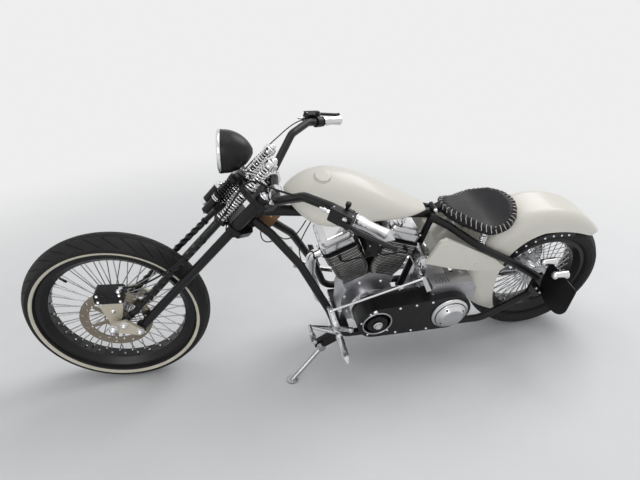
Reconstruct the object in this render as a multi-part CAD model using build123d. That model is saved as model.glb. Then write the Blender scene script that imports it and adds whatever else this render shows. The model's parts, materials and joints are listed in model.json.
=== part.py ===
from build123d import *
import os
from math import asin, atan2, cos, degrees, radians, sin, sqrt, tan

# A long, low chopper motorcycle: rigid tube frame, springer fork, open V-twin engine with an
# enclosed belt primary, sprung solo seat. Everything is built upright in millimetres, X forward,
# Y to the rider's left, Z up, from the ground point under the rear axle. The fork is built in
# its own frame (X ahead of the steering axis, Z along it). The last step leans the machine on
# its side stand.

# Stance
wheelbase = 1928
neck_place = (1345, 825.6)
neck_length = 118
axle_ahead = 145
lean = 14.5
rest_steer = -7.2

# Front wheel
front_radius = 370
front_width = 124
front_crown_radius = 70
front_rim_radius = 300
front_rim_inner = 268
front_rim_width = 84
front_hub_radius = 30
front_flange_radius = 42
front_flange_offset = 40
front_spokes = 60
disc_radius = 142
disc_thickness = 5
disc_middle = 62
caliper_above_axle = 134
caliper_plate_shoulder = 93
caliper_plate_top = 116

# Rear wheel
rear_radius = 328
rear_width = 172
rear_crown_radius = 105
rear_rim_radius = 236
rear_rim_inner = 208
rear_rim_width = 118
rear_hub_radius = 38
rear_flange_radius = 56
rear_flange_offset = 42
rear_spokes = 60
rear_pulley_radius = 118
final_belt_middle = 99
belt_width = 14
belt_thickness = 6

spoke_radius = 2.2
spoke_gap = 0.85
axle_radius = 12.5
running_clearance = 0.05
seat_gap = 0.3

# Frame tubes
rail_radius = 17
backbone_radius = 22
backbone_drop = 54
neck_radius = 31
post_radius = 15
stem_radius = 19
saddle = (606, 742)
rail_half = 155
axle_plate_half = 128
axle_plate_thickness = 12

# Bodywork
tank_wall = 3
cap_place = (1104, 31, 982)
cap_tilt = -15.8
cap_radius = 30
cap_recess = 6
cap_height = 11
filler_radius = 20
seat_spring_place = (404, 98)
seat_spring_low = 640
seat_spring_high = 684
fender_half = 112
belt_inner = 88
fender_skin = 4
fender_round = 55
boss_height = 3.3
boss_root = 8
tail_reach = 132
tail_shoulder = -109

# Engine
crank_x = 867
crank_z = 335
case_radius = 122
case_half = 66
v_angle = 45
v_tilt = 3
deck_height = 150
barrel_top = 285
head_top = 350
rocker_top = 398
barrel_radius = 58
barrel_fins = 10
barrel_length = 150
barrel_width = 150
head_fins = 4
head_length = 160
head_width = 168
port_height = 322
pushrod_half = 94
mount_top = 212
exhaust_radius = 21
muffler_radius = 36
muffler_end = 130
output_radius = 50
cross_members = (975, 790, 718, 620, 460)

# Primary drive
motor_plate_inner = 108
motor_plate_outer = 132
plate_front = 95
plate_rear = 108
guard_front = 86
guard_rear = 100
primary_outer = 218
cover_inner = 116
cover_outer = 184
clutch_x = 534
clutch_z = 344
front_pulley_radius = 57
clutch_radius = 84
dome_height = 36

# Fork, ahead of and along the steering axis
leg_ahead = 52
leg_half = 90
leg_radius = 18
upper_leg_radius = 22
leg_crown = 18
tree_gap = 2
lower_tree_thickness = 24
upper_tree_thickness = 22
rear_pivot = (55, 46.7)
front_pivot = (122, 38.7)

perch_ahead = 104
spring_half = 60
spring_rod = 7
spring_room = 118
bridge_ahead = 100
bridge_drop = 28
bridge_thickness = 12
front_leg_half = 95
front_leg_radius = 11
twist_side = 20
twist_turns = 3
twist_low = 44
twist_high = 112
collar_radius = 15
rocker_inner = 108.3
rocker_thickness = 12
front_spacer_start = 65.5
shock_ahead = 150
shock_drop = 32
disc_clearance = 5.5

# Handlebar and headlamp
bar_radius = 16
bar_ahead = 20
bar_straight = 118
riser_height = 44
riser_half = 60
grip_length = 110
lamp_ahead = 214
lamp_rise = 58
lamp_radius = 76
lamp_front = 56
lamp_back = 63
lamp_bowl_depth = 52

# Number plate and rear lamps
plate_x = 60
plate_inner = 156
plate_outer = 350
plate_low = 341
plate_corner = 80
tail_lamp_sides = (174, 260)
tail_lamp_height = 545
lamps_above_plate = 14
plate_high = tail_lamp_height - lamps_above_plate

# Side stand
stand_pivot = (1098, 188, 190)
stand_foot = (1236, 246, 64)
stand_toe_out = 9.15
stand_radius = 11
foot_radius = 26
foot_thickness = 8


def unit(angle):
    return cos(radians(angle)), sin(radians(angle))


# The rake follows from the wheelbase, the place of the steering head and the front axle's offset.
# The fork's frame starts level with the front axle, and neck_along is the middle of the head.
neck_x, neck_z = neck_place
neck_to_axle = sqrt((wheelbase - neck_x) ** 2 + (neck_z - front_radius) ** 2)
neck_along = sqrt(neck_to_axle**2 - axle_ahead**2)
rake = degrees(atan2(wheelbase - neck_x, neck_z - front_radius) - asin(axle_ahead / neck_to_axle))
cos_rake, sin_rake = unit(rake)
fork_x = neck_x + neck_along * sin_rake
fork_z = neck_z - neck_along * cos_rake
fork_place = Plane(
    origin=(fork_x, 0, fork_z),
    x_dir=(cos_rake, 0, sin_rake),
    z_dir=(-sin_rake, 0, cos_rake),
).location

neck_bottom = neck_along - neck_length / 2
neck_top = neck_along + neck_length / 2
lower_tree_high = neck_bottom - tree_gap
lower_tree_low = lower_tree_high - lower_tree_thickness
upper_tree_low = neck_top + tree_gap
upper_tree_high = upper_tree_low + upper_tree_thickness
bridge_low = lower_tree_high - bridge_drop
bridge_high = bridge_low + bridge_thickness
spring_top = upper_tree_high + spring_room
shock_low = bridge_low - shock_drop
shock_high = upper_tree_low
bar_along = upper_tree_high + riser_height
lamp_along = upper_tree_high + lamp_rise
bar_bend = (18, 255, bar_along + 124)
bar_last = (-30, 345, bar_along + 182)
grip_start = (-88, 392, bar_along + 212)


def fork_point(ahead, side, along):
    """A point of the fork frame, with straight steering, in the frame of the whole machine."""
    return (
        fork_x + ahead * cos_rake - along * sin_rake,
        side,
        fork_z + ahead * sin_rake + along * cos_rake,
    )


def tube(points, radius, bends):
    path = FilletPolyline(*points, radius=bends)
    return sweep(Plane(origin=path @ 0, z_dir=path % 0) * Circle(radius), path=path)


def rod(start, end, radius):
    line = Line(start, end)
    return sweep(Plane(origin=start, z_dir=line % 0) * Circle(radius), path=line)


def cross_rod(x, z, half, radius, middle=0):
    """A round bar along Y."""
    return Pos(x, middle, z) * Rot(90, 0, 0) * Cylinder(radius, 2 * half)


def cross_span(x, z, low, high, radius):
    """A rod across the machine from one side distance to another."""
    return cross_rod(x, z, (high - low) / 2, radius, (high + low) / 2)


def ring(outer, inner, width):
    """A flat ring whose axis is Y."""
    return Rot(90, 0, 0) * (Cylinder(outer, width) - Cylinder(inner, 2 * width))


def side_profile(points, start, end):
    """A straight-edged outline in the XZ plane, extruded between two values of Y."""
    face = make_face(Polyline(*[(x, 0, z) for x, z in points], close=True))
    return extrude(Pos(0, start, 0) * face, amount=end - start, dir=(0, 1, 0))


def dome_arc(edge, rise):
    """The arc of a dome about the X axis, from its edge to its top."""
    x, radius = edge
    ball = (radius**2 + rise**2) / (2 * rise)
    middle = radius / 2
    return ThreePointArc(edge, (x + rise - ball + sqrt(ball**2 - middle**2), middle), (x + rise, 0))


# Wheels
def tyre(radius, width, crown, rim_radius, rim_width):
    shoulder = 0.38 * width
    shoulder_z = radius - crown + sqrt(crown**2 - shoulder**2)
    wall_z = (radius + rim_radius) / 2 - 4
    bead = rim_width / 2 - seat_gap
    flange_z = rim_radius + 11
    section = [
        ThreePointArc((-shoulder, shoulder_z), (0, radius), (shoulder, shoulder_z)),
        ThreePointArc((shoulder, shoulder_z), (width / 2, wall_z), (bead, flange_z)),
        Line((bead, flange_z), (bead, rim_radius)),
        Line((bead, rim_radius), (-bead, rim_radius)),
        Line((-bead, rim_radius), (-bead, flange_z)),
        ThreePointArc((-bead, flange_z), (-width / 2, wall_z), (-shoulder, shoulder_z)),
    ]
    face = Plane.YZ * make_face(section)
    return revolve(face, axis=Axis.Y)


def rim(rim_radius, rim_inner, rim_width):
    half = rim_width / 2
    well = half * 0.45
    outer = rim_radius - seat_gap
    depth = rim_inner + 8
    points = [
        (-half - 4, outer + 10),
        (-half, outer + 10),
        (-half, outer),
        (-half * 0.72, outer - 2),
        (-well, depth),
        (well, depth),
        (half * 0.72, outer - 2),
        (half, outer),
        (half, outer + 10),
        (half + 4, outer + 10),
        (half + 4, outer - 8),
        (well + 6, rim_inner),
        (-well - 6, rim_inner),
        (-half - 4, outer - 8),
    ]
    face = Plane.YZ * make_face(Polyline(*points, close=True))
    return revolve(face, axis=Axis.Y)


def spoked_hub(hub_radius, flange_radius, offset, rim_inner, count):
    """A hub with one set of spokes to each flange; all the spokes of a flange lead one way."""
    hub = Cylinder(hub_radius, 2 * offset + 16) - Cylinder(axle_radius + running_clearance, 4 * offset)
    for side in (-1, 1):
        hub += Pos(0, 0, side * offset) * (
            Cylinder(flange_radius, 7) - Cylinder(axle_radius + running_clearance, 10)
        )
    hub = Rot(90, 0, 0) * hub
    spokes = []
    for k in range(count):
        side = 1 if k % 2 else -1
        root_angle = radians(360 * k / count + side * 52)
        tip_angle = radians(360 * k / count)
        root = (
            (flange_radius - 5) * cos(root_angle),
            side * offset,
            (flange_radius - 5) * sin(root_angle),
        )
        reach = rim_inner - spoke_gap
        tip = (reach * cos(tip_angle), side * 8, reach * sin(tip_angle))
        spokes.append(rod(root, tip, spoke_radius))
    return hub.fuse(*spokes)


def front_wheel_parts():
    place = Pos(axle_ahead, 0, 0)
    bore = axle_radius + running_clearance
    hub_end = front_flange_offset + 8
    disc = Pos(0, disc_middle, 0) * (
        ring(disc_radius, disc_radius - 36, disc_thickness) + ring(46, bore, disc_thickness)
    )
    for k in range(6):
        disc += Rot(0, 60 * k, 0) * Pos(76, disc_middle, 0) * Box(68, disc_thickness - 1, 15)
    disc += Pos(0, (hub_end + disc_middle) / 2, 0) * ring(30, bore, disc_middle - hub_end)
    return {
        "front_tyre": place
        * tyre(front_radius, front_width, front_crown_radius, front_rim_radius, front_rim_width),
        "front_rim": place * rim(front_rim_radius, front_rim_inner, front_rim_width),
        "front_spokes": place
        * spoked_hub(
            front_hub_radius, front_flange_radius, front_flange_offset, front_rim_inner, front_spokes
        ),
        "front_disc": place * disc,
    }


def rear_wheel_parts():
    place = Pos(0, 0, rear_radius)
    bore = axle_radius + running_clearance
    hub_end = rear_flange_offset + 8
    pulley = ring(rear_pulley_radius, rear_pulley_radius - 24, belt_width)
    pulley += ring(rear_pulley_radius - 20, bore, 8)
    web = Pos(0, -final_belt_middle, 0) * pulley
    for k in range(5):
        web -= Rot(0, 72 * k, 0) * cross_rod(66, 0, 2 * final_belt_middle, 18)
    reach = final_belt_middle - hub_end
    web += Pos(0, -hub_end - reach / 2, 0) * ring(rear_hub_radius, bore, reach)
    return {
        "rear_tyre": place
        * tyre(rear_radius, rear_width, rear_crown_radius, rear_rim_radius, rear_rim_width),
        "rear_rim": place * rim(rear_rim_radius, rear_rim_inner, rear_rim_width),
        "rear_spokes": place
        * spoked_hub(rear_hub_radius, rear_flange_radius, rear_flange_offset, rear_rim_inner, rear_spokes),
        "rear_pulley": place * web,
    }


# Frame
def frame_parts():
    top = fork_point(0, 0, neck_top - backbone_drop)
    middle = fork_point(0, 0, (neck_top + neck_bottom) / 2)
    head = fork_place * Pos(0, 0, (neck_top + neck_bottom) / 2) * (
        Cylinder(neck_radius, neck_top - neck_bottom)
        - Cylinder(stem_radius + running_clearance, 2 * (neck_top - neck_bottom))
    )
    head_core = fork_place * Pos(0, 0, (neck_top + neck_bottom) / 2) * Cylinder(neck_radius - 4, 400)
    backbone = rod(top, (saddle[0], 0, saddle[1]), backbone_radius) - head_core
    post = rod((606, 0, 728), (717, 0, mount_top - 30), post_radius)
    post -= Pos(718, 0, mount_top - 100) * Box(200, 200, 200)
    spine = head + backbone + post

    parts = {"frame_backbone": spine}
    lower = [
        fork_point(0, 26, neck_bottom + 30),
        (1300, 48, 748),
        (1190, 104, 618),
        (1068, 148, 384),
        (1010, rail_half, 224),
        (880, rail_half, 222),
        (310, rail_half, 202),
        (78, axle_plate_half + 6, 312),
    ]
    upper = [
        (640, 34, 752),
        (560, 62, 716),
        (420, 132, 636),
        (240, axle_plate_half + 6, 530),
        (48, axle_plate_half + 6, 402),
    ]
    head_solid = fork_place * Pos(0, 0, (neck_top + neck_bottom) / 2) * Cylinder(
        neck_radius, neck_top - neck_bottom
    )
    for name, side in (("left", 1), ("right", -1)):
        plate = side_profile(
            [(88, 428), (50, 436), (-14, 372), (-34, 338), (-30, 296), (36, 284), (98, 296)],
            axle_plate_half,
            axle_plate_half + axle_plate_thickness,
        )
        plate -= cross_rod(0, rear_radius, 20, axle_radius + running_clearance, axle_plate_half + 6)
        down = tube(lower, rail_radius, [60, 120, 160, 70, 200, 160])
        down = down - head_solid - spine - plate
        up = tube(upper, rail_radius, [60, 120, 200]) - down - spine + plate
        if side < 0:
            down = mirror(down, about=Plane.XZ)
            up = mirror(up, about=Plane.XZ)
        parts["frame_lower_" + name] = down
        parts["frame_upper_" + name] = up
    members = Part()
    for x in cross_members:
        length = 2 * (rail_half - rail_radius - seat_gap)
        members += Pos(x, 0, mount_top - 9) * Box(44, length, 18)
    parts["frame_crossmembers"] = members
    return parts


# Fork, in its own frame with straight steering
def middle_of(low, high):
    return (low + high) / 2


def fork_tube(ahead, side, low, high, radius):
    return Pos(ahead, side, (low + high) / 2) * Cylinder(radius, high - low)


def coil(radius, wire, low, high, turns):
    path = Helix((high - low - 2 * wire) / turns, high - low - 2 * wire, radius)
    return Pos(0, 0, low + wire) * sweep(Plane(origin=path @ 0, z_dir=path % 0) * Circle(wire), path=path)


def tree(low, high, outline, holes):
    plate = extrude(Pos(0, 0, low) * make_face(Polyline(*outline, close=True)), amount=high - low)
    plate = fillet(plate.edges().filter_by(Axis.Z), 14)
    for ahead, side, radius in holes:
        plate -= Pos(ahead, side, 0) * Cylinder(radius + running_clearance, 4000)
    return plate


def spring_leg(side):
    """The twisted square leg from the front pivot of a rocker up to the bridge."""
    low = Vector(front_pivot[0], side * front_leg_half, front_pivot[1])
    high = Vector(bridge_ahead, side * spring_half, bridge_low)
    place = Plane(origin=low, z_dir=high - low).location
    twist_length = (high - low).length - twist_low - twist_high
    square = RectangleRounded(twist_side, twist_side, 2).face()
    twisted = Solid.extrude_linear_with_rotation(
        square, (0, 0, 0), (0, 0, twist_length), 360 * twist_turns
    )
    eye = Pos(low) * Rot(90, 0, 0) * Cylinder(17, 22)
    foot = place * Pos(0, 0, twist_low / 2) * Cylinder(front_leg_radius, twist_low)
    foot += place * Pos(0, 0, twist_low - 5) * Cylinder(collar_radius, 10)
    head_low = twist_low + twist_length
    head = place * Pos(0, 0, head_low + twist_high / 2) * Cylinder(front_leg_radius, twist_high)
    head += place * Pos(0, 0, head_low + 5) * Cylinder(collar_radius, 10)
    return place * Pos(0, 0, twist_low) * twisted, foot + eye, head


def fork_legs():
    legs = []
    for side in (-1, 1):
        y = side * leg_half
        leg = fork_tube(leg_ahead, y, rear_pivot[1], lower_tree_low, leg_radius)
        leg += fork_tube(leg_ahead, y, lower_tree_low, upper_tree_high + leg_crown, upper_leg_radius)
        leg += fork_tube(leg_ahead, y, upper_tree_high + leg_crown - 7, upper_tree_high + leg_crown + 11, 13)
        leg += Pos(rear_pivot[0], y, rear_pivot[1]) * Rot(90, 0, 0) * Cylinder(20, 34)
        legs.append(leg)
    return legs


def fork_trees():
    back = -28
    nose = leg_ahead + 28
    corner = leg_half + 26
    lower_outline = [(back, -50), (back, 50), (26, corner), (nose, corner), (nose, -corner), (26, -corner)]
    perch = perch_ahead + 28
    upper_outline = [
        (back, -50), (back, 50), (26, corner), (nose + 4, corner),
        (perch, corner - 34), (perch, 34 - corner), (nose + 4, -corner), (26, -corner),
    ]
    leg_holes = [(leg_ahead, side * leg_half, upper_leg_radius) for side in (-1, 1)]
    rod_holes = [(perch_ahead, side * spring_half, spring_rod) for side in (-1, 1)]
    trees = tree(lower_tree_low, lower_tree_high, lower_outline, leg_holes)
    trees += tree(upper_tree_low, upper_tree_high, upper_outline, leg_holes + rod_holes)
    trees += fork_tube(0, 0, lower_tree_low, upper_tree_high + 14, stem_radius)
    trees += fork_tube(0, 0, upper_tree_high, upper_tree_high + 12, 26)
    return trees


def spring_fork():
    bridge = Pos(bridge_ahead + 6, 0, (bridge_low + bridge_high) / 2) * Box(
        46, 2 * spring_half + 60, bridge_thickness
    )
    bridge = fillet(bridge.edges().filter_by(Axis.Z), 12)
    solids = []
    upper = []
    for side in (-1, 1):
        twisted, foot, head = spring_leg(side)
        solids += [twisted, foot]
        upper.append(head)
        y = side * spring_half
        upper.append(fork_tube(perch_ahead, y, bridge_low, spring_top + 10, spring_rod))
        upper.append(fork_tube(perch_ahead, y, spring_top, spring_top + 12, 22))
    return Compound([bridge.fuse(*upper), *solids])


def fork_springs():
    springs = []
    for side in (-1, 1):
        for low, high in ((bridge_high, upper_tree_low), (upper_tree_high, spring_top)):
            turn = coil(17, 4, low + 0.1, high - 0.1, 5)
            springs.append(Pos(perch_ahead, side * spring_half, 0) * turn)
    return Compound(springs)


def rockers():
    arms = []
    pivot_middle = rocker_inner + rocker_thickness + 4
    outline = [
        (rear_pivot[0] - 16, rear_pivot[1] + 10),
        (front_pivot[0] + 6, front_pivot[1] + 22),
        (axle_ahead + 22, 6),
        (axle_ahead + 8, -24),
        (axle_ahead - 18, -16),
        (rear_pivot[0] - 14, rear_pivot[1] - 18),
    ]
    axle_place = Pos(axle_ahead, 0, 0) * Rot(90, 0, 0)
    for side in (-1, 1):
        inner, outer = sorted((side * rocker_inner, side * (rocker_inner + rocker_thickness)))
        plate = fillet(side_profile(outline, inner, outer).edges().filter_by(Axis.Y), 10)
        plate -= axle_place * Cylinder(axle_radius + running_clearance, 400)
        for pivot in (rear_pivot, front_pivot):
            plate += Pos(pivot[0], side * pivot_middle, pivot[1]) * Rot(90, 0, 0) * Cylinder(11, 10)
        arms.append(plate)
    axle = axle_place * Cylinder(axle_radius, 2 * (rocker_inner + rocker_thickness) + 12)
    spacer_end = rocker_inner - seat_gap
    for side in (-1, 1):
        middle = side * (spacer_end + front_spacer_start) / 2
        axle += Pos(0, middle, 0) * axle_place * Cylinder(18, spacer_end - front_spacer_start)
    return Compound([*arms, axle])


def fork_shock():
    """The damper between the bridge and the upper tree, with its reservoir."""
    body_top = shock_low + 84
    shock = fork_tube(shock_ahead, 0, shock_low, shock_high, 9)
    shock += fork_tube(shock_ahead, 0, shock_low, body_top, 16)
    shock += fork_tube(shock_ahead, 0, body_top - 3, body_top + 3, 21)
    shock += fork_tube(shock_ahead, 0, shock_high - 16, shock_high, 21)
    shock += fork_tube(shock_ahead + 12, -38, shock_low + 10, shock_low + 110, 17)
    shock += Pos(shock_ahead + 6, -20, shock_low + 20) * Box(16, 40, 16)
    bridge_nose = bridge_ahead + 29
    shock += Pos(bridge_nose + 7, 0, (bridge_low + bridge_high) / 2) * Box(14, 26, bridge_thickness)
    shock += Pos(shock_ahead, 0, shock_high + 5) * Box(36, 26, 10)
    return shock


def fork_parts():
    return {
        "fork_legs": Compound(fork_legs()),
        "fork_trees": fork_trees(),
        "spring_fork": spring_fork(),
        "fork_springs": fork_springs(),
        "rockers": rockers(),
        "fork_shock": fork_shock(),
    }


def handlebar_parts():
    bar = tube(
        [(bar_ahead, 0, bar_along), (bar_ahead, bar_straight, bar_along), bar_bend, bar_last, grip_start],
        bar_radius,
        [55, 60, 60],
    )
    bars = bar + mirror(bar, about=Plane.XZ)
    risers = []
    for side in (-1, 1):
        riser = fork_tube(bar_ahead, side * riser_half, upper_tree_high, bar_along, 18)
        clamp = Rot(90, 0, 0) * Cylinder(bar_radius + 8, 34)
        riser += Pos(bar_ahead, side * riser_half, bar_along) * clamp
        riser -= Pos(bar_ahead, 0, bar_along) * Rot(90, 0, 0) * Cylinder(bar_radius + running_clearance, 400)
        risers.append(riser)
    return bars, risers


def headlight():
    """The bullet lamp, its axis level with the machine, about X from its own centre."""
    profile = [
        Line((lamp_front, 0), (lamp_front, lamp_radius - 5)),
        Line((lamp_front, lamp_radius - 5), (lamp_front - 4, lamp_radius)),
        Line((lamp_front - 4, lamp_radius), (lamp_front - 16, lamp_radius)),
        ThreePointArc(
            (lamp_front - 16, lamp_radius), (-lamp_back * 0.35, lamp_radius * 0.76), (-lamp_back, 8)
        ),
        Line((-lamp_back, 8), (-lamp_back, 0)),
        Line((-lamp_back, 0), (lamp_front, 0)),
    ]
    shell = revolve(make_face(profile), axis=Axis.X)
    bowl_radius = lamp_radius - 9
    bowl_back = lamp_front - lamp_bowl_depth
    bowl_middle = (lamp_front - 0.7 * lamp_bowl_depth, 0.68 * bowl_radius)
    bowl_front = lamp_front + 20
    bowl = make_face([
        ThreePointArc((bowl_back, 0), bowl_middle, (lamp_front - 9, bowl_radius)),
        Line((lamp_front - 9, bowl_radius), (bowl_front, bowl_radius)),
        Line((bowl_front, bowl_radius), (bowl_front, 0)),
        Line((bowl_front, 0), (bowl_back, 0)),
    ])
    shell -= revolve(bowl, axis=Axis.X)
    glass_radius = bowl_radius - seat_gap
    glass = make_face([
        Line((lamp_front - 8, 0), (lamp_front - 8, glass_radius)),
        Line((lamp_front - 8, glass_radius), (lamp_front - 2, glass_radius)),
        dome_arc((lamp_front - 2, glass_radius), 10),
        Line((lamp_front + 8, 0), (lamp_front - 8, 0)),
    ])
    return shell, revolve(glass, axis=Axis.X)


def lamp_parts():
    centre = fork_point(lamp_ahead, 0, lamp_along)
    to_fork = fork_place.inverse() * Pos(*centre)
    shell, glass = headlight()
    shell = to_fork * shell
    bar_height = upper_tree_high + 4
    bracket = Pos(perch_ahead + 30, 0, bar_height) * Box(100, 40, 8)
    ear = rod((lamp_ahead - 42, 0, bar_height), (lamp_ahead - 44, 0, lamp_along - 38), 9)
    bracket = (bracket + ear) - shell
    return {"headlight": shell, "headlight_lens": to_fork * glass, "lamp_bracket": bracket}


def caliper_parts():
    """The front caliper over the top of the disc, and the plate that carries it."""
    hub = (wheelbase, front_radius)
    plate = side_profile(
        [
            (hub[0] - 20, hub[1] - 24),
            (hub[0] + 22, hub[1] - 20),
            (hub[0] + 54, hub[1] + caliper_plate_shoulder),
            (hub[0] + 46, hub[1] + caliper_plate_top),
            (hub[0] - 48, hub[1] + caliper_plate_top),
        ],
        disc_middle + disc_thickness / 2 + disc_clearance,
        disc_middle + disc_thickness / 2 + disc_clearance + 5,
    )
    plate -= cross_rod(hub[0], hub[1], 400, 18 + seat_gap)
    body = Pos(hub[0], disc_middle + 4, hub[1] + caliper_above_axle) * Box(112, 58, 52)
    body = fillet(body.edges().filter_by(Axis.Y), 14)
    slot_half = disc_thickness / 2 + disc_clearance
    slot = cross_rod(hub[0], hub[1], slot_half, disc_radius + disc_clearance, disc_middle)
    body -= slot
    body -= plate
    to_fork = fork_place.inverse()
    return {"caliper_bracket": to_fork * plate, "caliper_front": to_fork * body}


# Bodywork
def tank_body(wall):
    """The outside of the tank, or its inside, one wall smaller all round."""
    sections = (
        # x, half width, z of the widest line, z of the top, z of the bottom
        (1240 - wall, 30, 902, 922, 882),
        (1190, 88, 880, 958, 822),
        (1110, 124, 850, 986, 772),
        (980, 129, 840, 962, 770),
        (850, 111, 825, 898, 772),
        (720, 72, 800, 826, 776),
        (665 + wall, 38, 789, 799, 779),
    )
    faces = []
    for x, half, wide_z, top_z, bottom_z in sections:
        width = half - wall
        upper = EllipticalCenterArc((0, wide_z), width, top_z - wall - wide_z, 0, arc_size=180)
        lower = EllipticalCenterArc((0, wide_z), width, wide_z - bottom_z - wall, 180, arc_size=180)
        faces.append(Plane.YZ.offset(x) * make_face([upper, lower]))
    return loft(faces)


def tank_tunnel(half):
    """The slot under the tank that the backbone lies in."""
    front = (1400, backbone_height(1400))
    rear = (600, backbone_height(600))
    below = [front, rear, (rear[0], 600), (front[0], 600)]
    line = rod((front[0], 0, front[1]), (rear[0], 0, rear[1]), half)
    return line + side_profile(below, -half, half)


def fuel_tank():
    tunnel = backbone_radius + 8
    outside = tank_body(0) - tank_tunnel(tunnel)
    inside = tank_body(tank_wall) - tank_tunnel(tunnel + tank_wall)
    place = Pos(cap_place) * Rot(cap_tilt, 0, 0)
    up = (Align.CENTER, Align.CENTER, Align.MIN)
    down = (Align.CENTER, Align.CENTER, Align.MAX)
    neck = place * Cylinder(cap_radius + 6, 24, align=down) & outside
    tank = outside - inside + neck
    tank -= place * Pos(0, 0, -cap_recess) * Cylinder(cap_radius + seat_gap, 60, align=up)
    tank -= place * Cylinder(filler_radius, 40, align=down)
    for x in (1120, 800):
        for side in (-1, 1):
            middle = side * (backbone_radius + seat_gap + tunnel) / 2
            width = tunnel - backbone_radius - seat_gap
            tank += Pos(x, middle, backbone_height(x)) * Box(40, width, 16)
    cap = place * Pos(0, 0, -cap_recess) * Cylinder(cap_radius, cap_height, align=up)
    return {"fuel_tank": tank, "tank_cap": cap}


def backbone_height(x):
    neck = fork_point(0, 0, neck_top - backbone_drop)
    return saddle[1] + (x - saddle[0]) * (neck[2] - saddle[1]) / (neck[0] - saddle[0])


def fender_outline(skin, past_tail=0, past_toe=0):
    """The crown of the rear fender in side view, run on past its ends by two angles."""
    rear_arc = CenterArc((110, 325), 432 - skin, 90, 52.8 + past_tail)
    front_arc = CenterArc((110, 450), 307 - skin, -46 - past_toe, 136 + past_toe)
    return rear_arc, front_arc


def rear_fender():
    rear_arc, front_arc = fender_outline(0)
    tail = rear_arc @ 1
    toe = front_arc @ 0
    shoulder = (tail_shoulder, 627)
    edge = [
        Line(tail, shoulder),
        ThreePointArc(shoulder, (-5, 653), (106, 657)),
        ThreePointArc((106, 657), (198, 607), (255, 520)),
        ThreePointArc((255, 520), (264, 360), (213, 195)),
        Line((213, 195), toe),
    ]
    outer_face = Plane.XZ * make_face([rear_arc, front_arc, *edge])
    outer = extrude(Pos(0, -fender_half, 0) * outer_face, amount=2 * fender_half, dir=(0, 1, 0))
    rear_in, front_in = fender_outline(fender_skin, 17, 34)
    inner_edge = [
        Line(rear_in @ 1, (0, 300)),
        Line((0, 300), (145, 300)),
        Line((145, 300), front_in @ 0),
    ]
    inner_face = Plane.XZ * make_face([rear_in, front_in, *inner_edge])
    inner_half = fender_half - fender_skin
    inner = extrude(Pos(0, -inner_half, 0) * inner_face, amount=2 * inner_half, dir=(0, 1, 0))
    outer = fillet(crown_edges(outer, fender_half, 0), fender_round)
    inner = fillet(crown_edges(inner, inner_half, fender_skin), fender_round - fender_skin)
    fender = outer - inner
    fender -= tail_cut()
    notch = Pos(315, -fender_half, 342) * Box(250, 2 * (fender_half - belt_inner), 236)
    fender -= notch
    for x, z in ((340, 589), (276, 551)):
        for side in (-1, 1):
            middle = fender_half + (boss_height - boss_root) / 2
            fender += cross_rod(x, z, (boss_height + boss_root) / 2, 9, side * middle)
    return {"rear_fender": fender}


def tail_cut():
    """What lies behind the rounded end of the fender, seen from above."""
    end = EllipticalCenterArc((tail_shoulder, 0), tail_reach, fender_half + 1, 90, arc_size=180)
    block = [
        Line(end @ 1, (tail_shoulder, -2 * fender_half)),
        Line((tail_shoulder, -2 * fender_half), (-500, -2 * fender_half)),
        Line((-500, -2 * fender_half), (-500, 2 * fender_half)),
        Line((-500, 2 * fender_half), (tail_shoulder, 2 * fender_half)),
        Line((tail_shoulder, 2 * fender_half), end @ 0),
    ]
    return extrude(Pos(0, 0, 400) * make_face([end, *block]), amount=500)


def crown_edges(body, half, skin):
    """The long arcs of the crown on both sides of a fender body."""
    found = []
    for edge in body.edges().filter_by(GeomType.CIRCLE):
        if abs(abs(edge.center().Y) - half) < 0.1 and edge.radius > 300 - skin:
            if abs(edge.radius - (432 - skin)) < 0.5 or abs(edge.radius - (307 - skin)) < 0.5:
                found.append(edge)
    return found


def oil_tank():
    panel = [
        (262, 500), (330, 558), (402, 600), (494, 650), (585, 698), (612, 688),
        (656, 575), (536, 532), (434, 505), (293, 473),
    ]
    tank = Pos(515, 0, 585) * Box(150, 236, 80)
    tank -= Pos(515, 0, 585) * Box(150 - 2 * tank_wall, 236 - 2 * tank_wall, 80 - 2 * tank_wall)
    tank -= Pos(480, 0, 545) * Cylinder(8, 20)
    for side in (-1, 1):
        inner, outer = sorted((side * 118, side * 132))
        tank += side_profile(panel, inner, outer)
    return {"oil_tank": tank}


def seat():
    """A tractor-like saddle, wide over the springs, drawn in to a nose at its pivot."""
    half_outline = [(584, 0), (572, 48), (540, 78), (500, 100), (460, 124), (420, 147), (365, 157),
                    (310, 138), (265, 82)]
    other_half = [(x, -y) for x, y in reversed(half_outline[1:])]
    outline = Spline(*half_outline, (243, 0), *other_half, periodic=True)
    plan = extrude(Pos(0, 0, 600) * make_face(outline), amount=300)
    top = Spline((640, 832), (540, 782), (460, 750), (390, 740), (320, 762), (200, 806))
    bottom = Spline((200, 768), (260, 744), (330, 722), (400, 704), (470, 712), (550, 744), (640, 788))
    profile = make_face([top, Line(top @ 1, bottom @ 0), bottom, Line(bottom @ 1, top @ 0)])
    slab = extrude(Pos(0, -200, 0) * (Plane.XZ * profile), amount=400, dir=(0, 1, 0))
    return {"seat": plan & slab}


# Engine
def on_cylinder(side):
    """The frame of one cylinder: Z along its axis from the crank. side is 1 in front, -1 behind."""
    return Pos(crank_x, 0, crank_z) * Rot(0, v_tilt + side * v_angle / 2, 0)


def cylinder_point(side, x, y, z):
    placed = on_cylinder(side) * Pos(x, y, z)
    return tuple(placed.position)


def fin(z, length, width, thickness, corner=30):
    return Pos(0, 0, z) * extrude(RectangleRounded(length, width, corner), thickness)


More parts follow.
